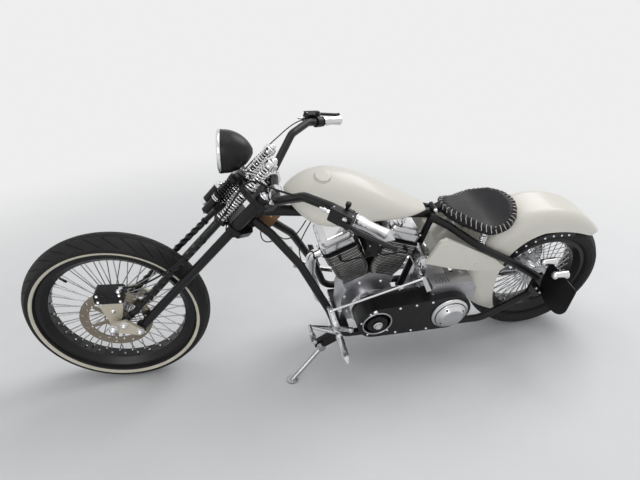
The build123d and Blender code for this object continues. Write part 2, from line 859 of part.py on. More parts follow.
def cylinder(side):
    body = Pos(0, 0, deck_height) * Cylinder(
        barrel_radius, head_top - deck_height, align=(Align.CENTER, Align.CENTER, Align.MIN)
    )
    fins = []
    pitch = (barrel_top - deck_height) / barrel_fins
    for k in range(barrel_fins):
        z = deck_height + pitch * (k + 0.5)
        room = 2 * (z * tan(radians(v_angle / 2)) - 4)
        fins.append(fin(z, min(barrel_length, room), barrel_width, 4))
    head_pitch = (head_top - barrel_top) / head_fins
    for k in range(head_fins):
        fins.append(fin(barrel_top + head_pitch * k + 3, head_length, head_width, 5))
    fins.append(Pos(0, 0, head_top - 8) * Box(120, 120, 16))
    port = Pos(side * head_length / 2 - side * 20, 0, port_height) * Rot(0, 90, 0) * Cylinder(27, 44)
    return on_cylinder(side) * body.fuse(*fins, port)


def rocker_box(side):
    base = extrude(RectangleRounded(152, 176, 22), 34)
    lid = Pos(0, 0, 34) * extrude(RectangleRounded(132, 152, 22), rocker_top - head_top - 34, taper=18)
    return on_cylinder(side) * Pos(0, -20, head_top) * (base + lid)


def engine_parts():
    case = cross_rod(crank_x, crank_z, case_half, case_radius)
    case += Pos(crank_x, 0, (crank_z + mount_top) / 2) * Box(236, 2 * case_half, crank_z - mount_top)
    for side in (-1, 1):
        case += on_cylinder(side) * Pos(0, 0, deck_height / 2) * Box(128, 2 * case_half, deck_height)
    nose = side_profile(
        [(800, 300), (840, 262), (900, 262), (945, 330), (945, 395), (905, 430), (830, 430), (795, 390)],
        -case_half - 42,
        -case_half,
    )
    case += nose
    rods = []
    for side in (-1, 1):
        for shift in (-14, 14):
            foot = (crank_x + side * 36 + shift, -pushrod_half, 428)
            head = cylinder_point(side, shift, -pushrod_half, head_top - 1)
            rods.append(rod(foot, head, 7) - case)
    gearbox = fillet(
        side_profile([(452, 212), (452, 395), (500, 425), (626, 425), (650, 395), (650, 212)], -66, 66)
        .edges()
        .filter_by(Axis.Y),
        14,
    )
    gearbox += cross_rod(clutch_x, clutch_z, 14, 46, -80)
    gearbox += cross_rod(clutch_x, clutch_z, belt_width / 2, output_radius, -final_belt_middle)
    return {
        "crankcase": case,
        "cylinder_front": cylinder(1),
        "cylinder_rear": cylinder(-1),
        "rocker_boxes": Compound([rocker_box(1), rocker_box(-1)]),
        "pushrod_tubes": Compound(rods),
        "gearbox": gearbox,
    }


def hull_face(radius_a, radius_b):
    """The outline round the crank shaft and the clutch shaft, standing in the XZ plane."""
    circles = [
        Pos(crank_x, crank_z) * Edge.make_circle(radius_a),
        Pos(clutch_x, clutch_z) * Edge.make_circle(radius_b),
    ]
    return Plane.XZ * make_hull(circles)


def hull(radius_a, radius_b, start, end):
    return extrude(Pos(0, start, 0) * hull_face(radius_a, radius_b), amount=end - start, dir=(0, 1, 0))


def primary_parts():
    plate = hull(plate_front, plate_rear, motor_plate_inner, motor_plate_outer)
    for x, z, radius in ((crank_x, crank_z, 60), (clutch_x, clutch_z, 55)):
        plate += cross_span(x, z, case_half, motor_plate_inner, radius)
    guard = hull(guard_front, guard_rear, motor_plate_outer, primary_outer)
    guard -= hull(guard_front - 5, guard_rear - 5, motor_plate_outer + 5, primary_outer - 5)
    guard -= cross_rod(crank_x, crank_z, 60, front_pulley_radius + 4, primary_outer)
    guard -= cross_rod(clutch_x, clutch_z, 60, clutch_radius + 4, primary_outer)
    belt_low = motor_plate_outer + 16
    belt_high = belt_low + 44
    belt = hull(front_pulley_radius + 6, clutch_radius - 6, belt_low, belt_high)
    belt -= hull(front_pulley_radius, clutch_radius - 12, belt_low - 1, belt_high + 1)
    start = motor_plate_outer + 5
    pulley = cross_span(crank_x, crank_z, start, belt_high, front_pulley_radius)
    pulley += cross_rod(crank_x, crank_z, 14, front_pulley_radius - 12, primary_outer - 8)
    pulley += cross_span(crank_x, crank_z, belt_high, primary_outer + 12, 20)
    basket = cross_span(clutch_x, clutch_z, start, belt_high, clutch_radius - 12)
    basket += cross_span(clutch_x, clutch_z, belt_high, primary_outer, clutch_radius)
    section = make_face(
        [
            dome_arc((0, clutch_radius), dome_height),
            Line((dome_height, 0), (0, 0)),
            Line((0, 0), (0, clutch_radius)),
        ]
    )
    dome = Pos(clutch_x, primary_outer, clutch_z) * Rot(0, 0, 90) * revolve(section, axis=Axis.X)
    return {
        "motor_plate": plate,
        "belt_guard": guard,
        "primary_belt": belt,
        "front_pulley": pulley,
        "clutch_dome": basket + dome,
    }


def primary_cover():
    """The cast cover over the starter gear, above and behind the belt guard, with its vent slots."""
    outline = [(628, 420), (628, 486), (604, 494), (446, 494), (414, 452), (414, 364), (480, 364)]
    cover = side_profile(outline, cover_inner, cover_outer)
    edges = cover.edges().filter_by(Axis.Y).filter_by(lambda edge: edge.center().Z > 440)
    cover = fillet(edges, 6)
    plate_room = seat_gap + 0.1
    cover -= hull(plate_front + plate_room, plate_rear + plate_room, 0, motor_plate_outer + seat_gap)
    cover -= hull(guard_front + plate_room, guard_rear + plate_room, motor_plate_outer, primary_outer)
    for k in range(5):
        cover -= Pos(606 - 14 * k, cover_outer - 24, 494) * Box(6, 30, 12)
    return {"primary_cover": cover}


def engine_fittings():
    starter = cross_rod(658, 565, 42, 40, 70) + cross_rod(658, 565, 3, 26, 114)
    starter += Pos(642, 70, 484) * Box(30, 50, 118)
    coil = Pos(884, 61, 652) * Box(66, 74, 72)
    coil = fillet(coil.edges().filter_by(Axis.Y), 14)
    strap_top = backbone_height(884) - backbone_radius - 2
    coil += Pos(884, 20, 690) * Box(26, 60, 6)
    coil += Pos(884, 0, (687 + strap_top) / 2) * Box(26, 20, strap_top - 687)
    inlet = Pos(882, -50, 632) * Box(50, 130, 50) + cross_rod(884, 620, 24, 74, -134)
    for side in (-1, 1):
        near = cylinder_point(side, -side * (head_length / 2 + seat_gap), 0, port_height)
        far = cylinder_point(side, -side * (head_length / 2 + 20), 0, port_height)
        inlet += rod(near, far, 20)
    return {"starter": starter, "coil_cover": coil, "air_cleaner": inlet}


def exhaust():
    front_port = cylinder_point(1, head_length / 2 + 2, 0, port_height)
    bend = cylinder_point(1, head_length / 2 + 52, 0, port_height)
    front = tube(
        [
            front_port,
            bend,
            (1112, -40, 430),
            (1062, -60, 250),
            (1010, -112, 150),
            (890, -212, 168),
            (740, -218, 262),
            (640, -218, 262),
        ],
        exhaust_radius,
        [40, 120, 60, 60, 80, 80],
    )
    rear_port = cylinder_point(-1, -56, -head_width / 2 - seat_gap, port_height)
    rear = tube(
        [rear_port, (rear_port[0], -168, rear_port[2]), (680, -215, 480), (600, -218, 345), (480, -218, 345)],
        exhaust_radius,
        [40, 60, 70],
    )
    pipes = []
    for pipe, start, z in ((front, 640, 262), (rear, 480, 345)):
        can_middle = Pos((start + muffler_end) / 2, -218, z)
        can = can_middle * Rot(0, 90, 0) * Cylinder(muffler_radius, start - muffler_end)
        can -= Pos(muffler_end, -218, z) * Rot(0, 90, 0) * Cylinder(muffler_radius - 10, 200)
        pipes.append(pipe + can)
    stay = Pos(350, -218 + 27, 303) * Box(30, 6, 60)
    return {"exhaust": pipes[0] + pipes[1] + stay}


# Controls, stand and rear lamps
def lever_assembly():
    """Master cylinder and lever of the left grip, in the fork frame."""
    inner = Vector(*grip_start)
    along = (inner - Vector(*bar_last)).normalized()
    ahead = Vector(0.9, 0.3, -0.42)
    bar_place = Plane(origin=tuple(inner - along * 22), z_dir=tuple(along), x_dir=tuple(ahead))
    clamp = bar_place * (Cylinder(bar_radius + 7, 26) - Cylinder(bar_radius + seat_gap, 60))
    body = bar_place * Pos(38, 0, -6) * Box(34, 40, 74)
    body = fillet(body.edges(), 5)
    pivot = bar_place * Pos(58, 0, 10)
    blade = [
        tuple((bar_place * Pos(58, 0, 6)).position),
        tuple((bar_place * Pos(66, 0, 70)).position),
        tuple((bar_place * Pos(50, 0, 178)).position),
    ]
    lever = tube(blade, 7, [30])
    ball = Pos(*blade[-1]) * Sphere(9)
    return clamp + body + lever + ball


def foot_controls(rail):
    plate = side_profile([(1160, 352), (1160, 334), (964, 275), (964, 298)], 190, 199)
    riser = side_profile([(1096, 462), (1070, 458), (1026, 318), (1054, 314)], 199, 208)
    boss = cross_rod(1062, 322, 20, 13, 170) - rail
    peg_outline = [(0, 206), (9, 206), (9, 232), (15, 232), (15, 346), (3, 372), (0, 372)]
    peg_face = make_face(Polyline(*peg_outline, close=True))
    peg = Pos(1034, 0, 296) * revolve(peg_face, axis=Axis.Y)
    lever = rod((1036, 214, 300), (1164, 214, 368), 7)
    toe = rod((1164, 208, 368), (1160, 300, 368), 8)
    carrier = rod((1062, 208, 322), (1034, 208, 296), 12)
    return plate + riser + boss + peg + lever + toe + carrier


def control_parts(rail):
    left = foot_controls(rail)
    right = mirror(left, about=Plane.XZ)
    return {"foot_controls": Compound([left, right])}


def shift_linkage():
    linkage = rod((1080, 217.3, 452), (693, 200, 559), 5)
    linkage += Pos(1080, 217.3, 452) * Sphere(9)
    linkage += side_profile([(684, 566), (702, 566), (656, 470), (636, 476)], 186, 196)
    linkage += cross_rod(646, 478, (190 - 96) / 2, 8, (190 + 96) / 2)
    return {"shift_rod": linkage}


def plate_parts():
    """The side-mounted plate holder with a rounded lower edge, and two bullet lamps on it."""
    middle = (plate_inner + plate_outer) / 2
    height = plate_high - plate_low
    sheet = Pos(plate_x, middle, plate_low + height / 2) * Box(3, plate_outer - plate_inner, height)
    edges = sheet.edges().filter_by(Axis.X)
    half_way = middle_of(plate_low, plate_high)
    sheet = fillet(edges.filter_by(lambda edge: edge.center().Z < half_way), plate_corner)
    edges = sheet.edges().filter_by(Axis.X)
    sheet = fillet(edges.filter_by(lambda edge: edge.center().Z > plate_high - 1), 14)
    arm_inner = axle_plate_half + axle_plate_thickness
    arm = Pos(plate_x + 7.5, arm_inner + 30, plate_low + 25) * Box(12, 60, 26)
    lamps = []
    lenses = []
    for y in tail_lamp_sides:
        bore = Pos(plate_x + 22, y, tail_lamp_height) * Rot(0, 90, 0) * Cylinder(17, 52)
        nose = bore + Pos(plate_x + 48, y, tail_lamp_height) * Sphere(17)
        sheet -= bore
        lamps.append(nose)
        lenses.append(Pos(plate_x - 8, y, tail_lamp_height) * Rot(0, 90, 0) * Cylinder(15, 8))
    return {"plate_holder": sheet + arm, "tail_lamps": Compound(lamps), "tail_lenses": Compound(lenses)}


def rear_axle():
    half = axle_plate_half + axle_plate_thickness
    axle = cross_rod(0, rear_radius, half + 18, axle_radius)
    for side in (-1, 1):
        axle += cross_rod(0, rear_radius, 8, 22, side * (half + 8))
        start = rear_flange_offset + 8 + 1 if side > 0 else final_belt_middle + 4 + 1
        length = axle_plate_half - start
        axle += cross_rod(0, rear_radius, length / 2, 20, side * (start + length / 2))
    return {"rear_axle": axle}


def drive_belt():
    def loop(extra, half):
        circles = [
            Pos(0, rear_radius) * Edge.make_circle(rear_pulley_radius + extra),
            Pos(clutch_x, clutch_z) * Edge.make_circle(output_radius + extra),
        ]
        face = Plane.XZ * make_hull(circles)
        return extrude(Pos(0, -final_belt_middle - half, 0) * face, amount=2 * half, dir=(0, 1, 0))

    half = belt_width / 2
    return {"drive_belt": loop(seat_gap + belt_thickness, half) - loop(seat_gap, half + 5)}


def seat_mounts(cushion, rails):
    """A coil spring on each upper rail, between two cups."""
    x, y = seat_spring_place
    cushion = Pos(0, 0, -seat_gap) * cushion
    parts = []
    for side, rail in ((-1, rails[0]), (1, rails[1])):
        spring = Pos(x, side * y, 0) * coil(15, 4, seat_spring_low, seat_spring_high, 4)
        spring += Pos(x, side * y, (seat_spring_low + seat_spring_high) / 2) * Cylinder(
            5, seat_spring_high - seat_spring_low
        )
        cup = Pos(x, side * y, seat_spring_low - 3) * Cylinder(20, 6)
        cup += Pos(x, side * (y + 18), seat_spring_low - 8) * Box(22, 36, 16)
        cap = Pos(x, side * y, seat_spring_high + 10) * Cylinder(19, 20)
        parts.append((cup - rail) + spring + (cap - cushion))
    return parts


# Stance: lean on the stand, both tyres and the foot on the ground
def wheel_height(normal, crown_circle, crown):
    """Height of a wheel's centre over the ground when its axle points along normal."""
    return crown_circle * sqrt(1 - normal.Z**2) + crown


def stance():
    upright = Rot(-lean, 0, 0)
    steer = fork_place * Rot(0, 0, rest_steer) * fork_place.inverse()
    front_centre = (steer * Pos(wheelbase, 0, front_radius)).position
    front_axle = (steer * Pos(wheelbase, 100, front_radius)).position - front_centre
    pitch = 0
    for _ in range(6):
        turn = upright * Rot(0, pitch, 0)
        heights = []
        for centre, axle_line, radius, crown in (
            (Vector(0, 0, rear_radius), Vector(0, 100, 0), rear_radius, rear_crown_radius),
            (front_centre, front_axle, front_radius, front_crown_radius),
        ):
            placed = (turn * Pos(*centre)).position
            along = (turn * Pos(*(centre + axle_line))).position - placed
            rest = wheel_height(along.normalized(), radius - crown, crown)
            heights.append(rest - placed.Z)
        pitch -= degrees((heights[1] - heights[0]) / wheelbase)
    return Pos(0, 0, heights[0]) * turn


def stand_parts(placed, rail):
    """The bracket and the leg, placed. The foot is made flat on the ground."""
    bracket = side_profile(
        [(1004, 262), (1052, 262), (1122, 212), (1122, 172), (1078, 166), (1000, 214)], 158, 172
    )
    hinge = Pos(stand_pivot) * Rot(0, 0, stand_toe_out) * Rot(90, 0, 0)
    bracket += hinge * Pos(0, 0, 12 + seat_gap + 4) * Cylinder(14, 8)
    bracket -= rail
    leg = rod(stand_pivot, stand_foot, stand_radius)
    leg += hinge * Cylinder(17, 24)
    leg = placed * leg
    foot = (placed * Pos(*stand_foot)).position
    low = Pos(foot.X, foot.Y, foot_thickness / 2)
    leg -= Pos(foot.X, foot.Y, -50) * Box(200, 200, 100)
    leg += low * Cylinder(foot_radius, foot_thickness)
    return bracket, leg


# Assembly
def build():
    placed = stance()
    turn = Rot(0, 0, rest_steer)
    frame_nodes = frame_parts()
    tank = fuel_tank()
    cushion = seat()
    rails = (frame_nodes["frame_upper_right"], frame_nodes["frame_upper_left"])
    upright = {
        **frame_nodes,
        **tank,
        **rear_fender(),
        **oil_tank(),
        **cushion,
        "seat_springs": Compound(seat_mounts(cushion["seat"], rails)),
        **engine_parts(),
        **primary_parts(),
        **primary_cover(),
        **engine_fittings(),
        "exhaust": exhaust()["exhaust"],
        **control_parts(frame_nodes["frame_lower_left"]),
        **shift_linkage(),
        **plate_parts(),
        **rear_axle(),
        **drive_belt(),
        **rear_wheel_parts(),
        "gusset_panel": gusset(),
    }
    bars, risers = handlebar_parts()
    lever = lever_assembly()
    forked = {
        **fork_parts(),
        "handlebar": Compound([bars, *risers]),
        "grips": Compound([grip_body(), mirror(grip_body(), about=Plane.XZ)]),
        "levers": Compound([lever, mirror(lever, about=Plane.XZ)]),
        **lamp_parts(),
        **caliper_parts(),
        **front_wheel_parts(),
    }
    parts = {name: placed * shape for name, shape in upright.items()}
    parts.update({name: placed * fork_place * turn * shape for name, shape in forked.items()})
    bracket, leg = stand_parts(placed, frame_nodes["frame_lower_left"])
    parts["stand_bracket"] = placed * bracket
    parts["side_stand"] = leg
    boxes = [shape.bounding_box() for shape in parts.values()]
    low_x = min(box.min.X for box in boxes)
    high_x = max(box.max.X for box in boxes)
    low_y = min(box.min.Y for box in boxes)
    high_y = max(box.max.Y for box in boxes)
    centre = Pos(-(low_x + high_x) / 2, -(low_y + high_y) / 2, 0)
    return {name: centre * shape for name, shape in parts.items()}, centre * placed


def gusset():
    panel = side_profile([(1352, 770), (1322, 850), (1228, 830), (1298, 737)], -3, 3)
    head = fork_place * Pos(0, 0, (neck_top + neck_bottom) / 2) * Cylinder(neck_radius, 300)
    neck = fork_point(0, 0, neck_top - backbone_drop)
    return panel - head - rod(neck, (saddle[0], 0, saddle[1]), backbone_radius)


def grip_body():
    along = Vector(*grip_start) - Vector(*bar_last)
    place = Plane(origin=grip_start, z_dir=tuple(along.normalized()))
    body = extrude(RegularPolygon(18, 8), grip_length)
    body += Cylinder(20, 14, align=(Align.CENTER, Align.CENTER, Align.MIN))
    body += Pos(0, 0, grip_length) * Cone(18, 6, 30, align=(Align.CENTER, Align.CENTER, Align.MIN))
    return place * body


if __name__ == "__main__":
    os.makedirs("parts", exist_ok=True)
    solids, place = build()
    for name, shape in solids.items():
        export_step(shape, f"parts/{name}.step")
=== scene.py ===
import json
import math
from itertools import product

import bmesh
import bpy
from mathutils import Matrix, Vector
from mathutils.bvhtree import BVHTree


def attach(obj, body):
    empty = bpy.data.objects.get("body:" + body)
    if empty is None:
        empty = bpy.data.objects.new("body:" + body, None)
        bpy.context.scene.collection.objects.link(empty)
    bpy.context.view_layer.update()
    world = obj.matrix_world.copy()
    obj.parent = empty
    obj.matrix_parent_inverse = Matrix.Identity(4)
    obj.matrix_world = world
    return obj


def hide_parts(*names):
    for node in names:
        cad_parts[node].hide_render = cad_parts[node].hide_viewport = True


# Looks of a long, low chopper motorcycle that leans on its side stand. The row's frame is in
# metres. Shapes are made in millimetres, in one of three frames that are turned with the machine:
# "machine" coordinates are upright, from the ground point under the rear axle: X forward, Y to
# the rider's left, Z up. "Fork" coordinates are ahead of the steering axis, left, and along it,
# level with the front axle at 0. "Straight" coordinates are the machine's, carried by the fork.

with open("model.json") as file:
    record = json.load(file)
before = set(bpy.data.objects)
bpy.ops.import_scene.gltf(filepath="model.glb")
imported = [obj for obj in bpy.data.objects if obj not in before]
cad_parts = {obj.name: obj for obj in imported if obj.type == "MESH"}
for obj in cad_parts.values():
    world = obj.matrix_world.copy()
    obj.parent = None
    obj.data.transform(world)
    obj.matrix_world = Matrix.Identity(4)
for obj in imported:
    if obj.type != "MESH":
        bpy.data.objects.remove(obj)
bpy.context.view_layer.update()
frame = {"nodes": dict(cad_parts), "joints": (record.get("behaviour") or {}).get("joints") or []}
NODES = frame["nodes"]
JOINTS = {joint["name"]: joint for joint in frame["joints"]}

REAR_RADIUS = 328.0
AXLE_AHEAD = 145.0
FORK_X = 1818.06
FORK_Z = 275.461
RAKE = math.radians(40.692)
LEFT, RIGHT = (0, 1, 0), (0, -1, 0)
AHEAD, BACK = (1, 0, 0), (-1, 0, 0)
UP, DOWN = (0, 0, 1), (0, 0, -1)

# Where the photograph was taken from, measured from the rear hub
CAMERA_FROM_HUB = Vector((1.4998, 1.8879, 1.1811))
CAMERA_YAW = math.radians(-102.8)
CAMERA_PITCH = math.radians(-25.12)
FOCAL_PX = 494.9
IMAGE_WIDTH = 640
SENSOR_MM = 36.0


# Frames of reference
shift = Matrix.Translation
MILLIMETRES = Matrix.Scale(0.001, 4)


def joint_vector(joint, key):
    return Vector(JOINTS[joint][key])


def machine_matrix():
    """From machine millimetres to the row's frame, from the rear axle and the steering axis."""
    y = joint_vector("rear_wheel_spin", "axis").normalized()
    steer = joint_vector("steering", "axis").normalized()
    x = (-math.cos(RAKE) * steer.cross(y) - math.sin(RAKE) * steer).normalized()
    turn = Matrix((x, y, x.cross(y))).transposed().to_4x4()
    hub = shift(joint_vector("rear_wheel_spin", "pos_m"))
    return hub @ turn @ MILLIMETRES @ shift((0, 0, -REAR_RADIUS))


def fork_matrix():
    """From fork millimetres, with the steering as it stands, to the row's frame."""
    along = joint_vector("steering", "axis").normalized()
    left = joint_vector("front_wheel_spin", "axis").normalized()
    turn = Matrix((left.cross(along), left, along)).transposed().to_4x4()
    axle = shift(joint_vector("front_wheel_spin", "pos_m"))
    return axle @ turn @ MILLIMETRES @ shift((-AXLE_AHEAD, 0, 0))


def straight_matrix():
    """From machine millimetres, for what the fork carries, to the row's frame."""
    c, s = math.cos(RAKE), math.sin(RAKE)
    turn = Matrix(((c, 0, -s), (0, 1, 0), (s, 0, c))).to_4x4()
    return fork_matrix() @ (shift((FORK_X, 0, FORK_Z)) @ turn).inverted()


MACHINE = machine_matrix()
FORK = fork_matrix()
STRAIGHT = straight_matrix()
MIRROR = Matrix.Diagonal((1, -1, 1, 1))
PLACE_OF = {"frame": MACHINE, "rear_wheel": MACHINE, "fork": FORK, "front_wheel": FORK}


def fork_point(ahead, side, along):
    """A fork point, with straight steering, in machine millimetres."""
    c, s = math.cos(RAKE), math.sin(RAKE)
    return Vector((FORK_X + ahead * c - along * s, side, FORK_Z + ahead * s + along * c))


def aimed(point, direction):
    """A frame at a point whose Z is the direction."""
    return shift(point) @ Vector(direction).to_track_quat("Z", "Y").to_matrix().to_4x4()


# Node materials
def new_material(name):
    made = bpy.data.materials.new(name)
    made.use_nodes = True
    return made, made.node_tree, made.node_tree.nodes["Principled BSDF"]


def object_noise(tree, scale, detail=4.0):
    place = tree.nodes.new("ShaderNodeTexCoord")
    noise = tree.nodes.new("ShaderNodeTexNoise")
    noise.inputs["Scale"].default_value = scale
    noise.inputs["Detail"].default_value = detail
    noise.inputs["Roughness"].default_value = 0.55
    tree.links.new(place.outputs["Object"], noise.inputs["Vector"])
    return noise.outputs["Fac"]


def level(value):
    return (value, value, value)


def ramp(tree, source, low, high, colours, socket):
    """Lead two colours, mixed by a value between low and high, into a socket."""
    made = tree.nodes.new("ShaderNodeValToRGB")
    for element, position, colour in zip(made.color_ramp.elements, (low, high), colours):
        element.position = position
        element.color = (*colour, 1)
    tree.links.new(source, made.inputs["Fac"])
    tree.links.new(made.outputs["Color"], socket)


def ramp_shine(tree, source, rough, shader):
    ramp(tree, source, 0.3, 0.7, (level(rough[0]), level(rough[1])), shader.inputs["Roughness"])


def add_bump(tree, shader, source, distance, strength=1.0):
    bump = tree.nodes.new("ShaderNodeBump")
    bump.inputs["Distance"].default_value = distance
    bump.inputs["Strength"].default_value = strength
    tree.links.new(source, bump.inputs["Height"])
    tree.links.new(bump.outputs["Normal"], shader.inputs["Normal"])


def finish_material(
    name, colours, rough, metallic=0.0, coat=0.0, coat_rough=0.05, grain=180.0, bump=0.00006,
    blotch=9.0, specular=0.5
):
    """A material whose colour and roughness wander a little over a fine-grained surface."""
    made, tree, shader = new_material(name)
    shader.inputs["Metallic"].default_value = metallic
    shader.inputs["Coat Weight"].default_value = coat
    shader.inputs["Coat Roughness"].default_value = coat_rough
    shader.inputs["Specular IOR Level"].default_value = specular
    broad = object_noise(tree, blotch)
    fine = object_noise(tree, grain, detail=6.0)
    ramp(tree, broad, 0.35, 0.65, colours, shader.inputs["Base Color"])
    ramp_shine(tree, fine, rough, shader)
    add_bump(tree, shader, fine, bump)
    return made


def leather_material(name):
    """Black leather: a cellular grain with soft creases."""
    made, tree, shader = new_material(name)
    shader.inputs["Specular IOR Level"].default_value = 0.22
    place = tree.nodes.new("ShaderNodeTexCoord")
    cells = tree.nodes.new("ShaderNodeTexVoronoi")
    cells.inputs["Scale"].default_value = 420.0
    tree.links.new(place.outputs["Object"], cells.inputs["Vector"])
    broad = object_noise(tree, 14.0)
    colours = ((0.008, 0.008, 0.010), (0.016, 0.016, 0.018))
    ramp(tree, broad, 0.35, 0.65, colours, shader.inputs["Base Color"])
    ramp_shine(tree, broad, (0.42, 0.56), shader)
    add_bump(tree, shader, cells.outputs["Distance"], 0.0005, 0.6)
    return made


def glass_material(name, colour, rough=0.02):
    made, tree, shader = new_material(name)
    shader.inputs["Base Color"].default_value = (*colour, 1)
    shader.inputs["Transmission Weight"].default_value = 1.0
    shader.inputs["IOR"].default_value = 1.45
    ramp_shine(tree, object_noise(tree, 30.0), (rough, rough + 0.03), shader)
    return made


CREAM = finish_material(
    "cream_paint", ((0.755, 0.73, 0.655), (0.77, 0.745, 0.67)), (0.3, 0.35), coat=0.25,
    coat_rough=0.14, specular=0.3, grain=10.0, bump=0.000001, blotch=4.0
)
BLACK = finish_material(
    "frame_black", ((0.006, 0.006, 0.007), (0.009, 0.009, 0.010)), (0.28, 0.38), bump=0.00002,
    specular=0.3
)
WRINKLE = finish_material(
    "engine_black", (level(0.006), level(0.012)), (0.45, 0.6), grain=420.0, bump=0.00015,
    specular=0.3
)
BRONZE = finish_material(
    "bronze_paint", ((0.19, 0.10, 0.045), (0.25, 0.135, 0.06)), (0.3, 0.42), metallic=0.35,
    coat=0.2
)
DISC = finish_material(
    "disc_bronze", ((0.27, 0.23, 0.18), (0.34, 0.30, 0.24)), (0.26, 0.4), metallic=1.0, grain=90.0
)
BEIGE = finish_material(
    "bracket_cream", ((0.58, 0.53, 0.42), (0.62, 0.57, 0.46)), (0.3, 0.4), coat=0.3, grain=80.0
)
CHROME = finish_material(
    "chrome", ((0.72, 0.72, 0.73), (0.78, 0.78, 0.79)), (0.04, 0.09), metallic=1.0, grain=25.0,
    bump=0.000002
)
POLISHED = finish_material(
    "polished_aluminium", ((0.62, 0.62, 0.63), (0.70, 0.70, 0.71)), (0.16, 0.26), metallic=1.0,
    grain=80.0, bump=0.000004
)
CAST = finish_material(
    "cast_aluminium", ((0.44, 0.44, 0.46), (0.54, 0.54, 0.56)), (0.34, 0.46), metallic=1.0,
    grain=300.0
)
FIN_EDGE = finish_material(
    "fin_edges", ((0.42, 0.41, 0.40), (0.58, 0.57, 0.55)), (0.25, 0.4), metallic=1.0, blotch=40.0
)
STEEL = finish_material(
    "steel", ((0.42, 0.42, 0.43), (0.52, 0.52, 0.53)), (0.2, 0.34), metallic=1.0, grain=150.0,
    bump=0.00001
)
RUBBER = finish_material(
    "tyre_rubber", (level(0.009), (0.018, 0.018, 0.017)), (0.55, 0.75), grain=260.0, bump=0.0001,
    specular=0.25
)
STRIPE = finish_material(
    "tyre_stripe", ((0.60, 0.56, 0.46), (0.70, 0.66, 0.55)), (0.6, 0.75), grain=200.0, blotch=20.0
)
BELT = finish_material(
    "belt_rubber", (level(0.006), level(0.011)), (0.5, 0.7), grain=500.0, specular=0.3
)
LEATHER = leather_material("seat_leather")
THREAD = finish_material(
    "lacing", ((0.50, 0.47, 0.42), (0.66, 0.62, 0.56)), (0.6, 0.8), grain=700.0, bump=0.0002
)
GLASS = glass_material("lamp_glass", (0.95, 0.97, 1.0))
RED_GLASS = glass_material("red_glass", (0.5, 0.02, 0.015), 0.08)
BRASS = finish_material(
    "brass", ((0.55, 0.38, 0.14), (0.62, 0.44, 0.18)), (0.2, 0.35), metallic=1.0
)
# Near-black finish painted as the shade inside holes and grooves
PAINTED_HOLE_SHADE = finish_material("painted_shade_black", (level(0.006), level(0.01)), (0.6, 0.8))

NODE_LOOKS = {
    CREAM: ("fuel_tank", "rear_fender", "oil_tank", "tank_cap"),
    BEIGE: ("caliper_bracket", "rockers"),
    BRONZE: ("gusset_panel",),
    CHROME: (
        "pushrod_tubes", "seat_springs", "exhaust", "fork_springs", "shift_rod", "tail_lamps"
    ),
    POLISHED: ("motor_plate", "rear_pulley", "rocker_boxes", "foot_controls"),
    CAST: ("gearbox", "crankcase", "primary_cover", "clutch_dome"),
    # front_pulley is engine black as painted shade, the dark deep inside the guard's opening
    WRINKLE: ("cylinder_front", "cylinder_rear", "coil_cover", "air_cleaner", "front_pulley"),
    STEEL: ("front_spokes", "rear_spokes", "rear_axle", "starter", "side_stand"),
    BELT: ("drive_belt", "primary_belt"),
    GLASS: ("headlight_lens",),
    RED_GLASS: ("tail_lenses",),
}


def dress_nodes():
    looks = {name: look for look, names in NODE_LOOKS.items() for name in names}
    for name, node in NODES.items():
        node.data.materials.clear()
        node.data.materials.append(looks.get(name, BLACK))


# Shapes: each is a list of points and a list of faces, in millimetres
HEX = 6
OCTAGON = 8


def polar(radius, angle):
    return radius * math.cos(angle), radius * math.sin(angle)


def around(count, start=0.0):
    """The angles of even steps round a circle."""
    return [2 * math.pi * k / count + start for k in range(count)]


def radius_at(radius, angle, sides=None):
    """How far an outline is from its middle; a polygon keeps its width across flats."""
    if sides is None:
        return radius
    sector = 2 * math.pi / sides
    return radius / math.cos((angle % sector) - sector / 2)


def band_faces(rows):
    faces = []
    for low, high in zip(rows, rows[1:]):
        for k in range(len(low)):
            n = (k + 1) % len(low)
            corners = list(dict.fromkeys((low[k], low[n], high[n], high[k])))
            if len(corners) > 2:
                faces.append(corners)
    return faces


def turned(profile, count=24):
    """A body of revolution about Z from (radius, height) or (radius, height, sides) rows."""
    points = []
    rows = []
    for radius, height, *sides in profile:
        if radius < 0.001:
            rows.append([len(points)] * count)
            points.append(Vector((0, 0, height)))
            continue
        rows.append([len(points) + k for k in range(count)])
        for angle in around(count):
            points.append(Vector((*polar(radius_at(radius, angle, *sides), angle), height)))
    return points, band_faces(rows)


def faceted(rows, sides=OCTAGON):
    return [(radius, height, sides) for radius, height in rows]


def skin(outlines, form="open"):
    """A skin over closed outlines of equal count: open, capped at both ends, or a closed ring."""
    count = len(outlines[0])
    points = [Vector(point) for outline in outlines for point in outline]
    rows = [list(range(k * count, (k + 1) * count)) for k in range(len(outlines))]
    faces = band_faces(rows + [rows[0]] if form == "closed" else rows)
    if form == "capped":
        faces += [rows[0][::-1], rows[-1]]
    return points, faces


def moved(shape, *matrices):
    points, faces = shape
    for matrix in reversed(matrices):
        points = [matrix @ Vector(point) for point in points]
    return points, faces


def at(shape, spot, way=UP):
    """A shape set at a point, with its Z along a direction."""
    return moved(shape, aimed(spot, way))


def copies(shape, spots, way=UP):
    return [at(shape, spot, way) for spot in spots]


def ring_of(shape, count, radius, side, way, middle, start=0.0):
    """Copies of a shape round an axis along Y, each pointing along it."""
    ring = [polar(radius, angle) for angle in around(count, start)]
    return copies(shape, [(middle[0] + x, side, middle[1] + z) for x, z in ring], way)


def both_sides(shapes):
    return [*shapes, *(moved(shape, MIRROR) for shape in shapes)]


def joined(shapes):
    points = []
    faces = []
    for more, polygons in shapes:
        start = len(points)
        points.extend(more)
        faces.extend([start + k for k in polygon] for polygon in polygons)
    return points, faces


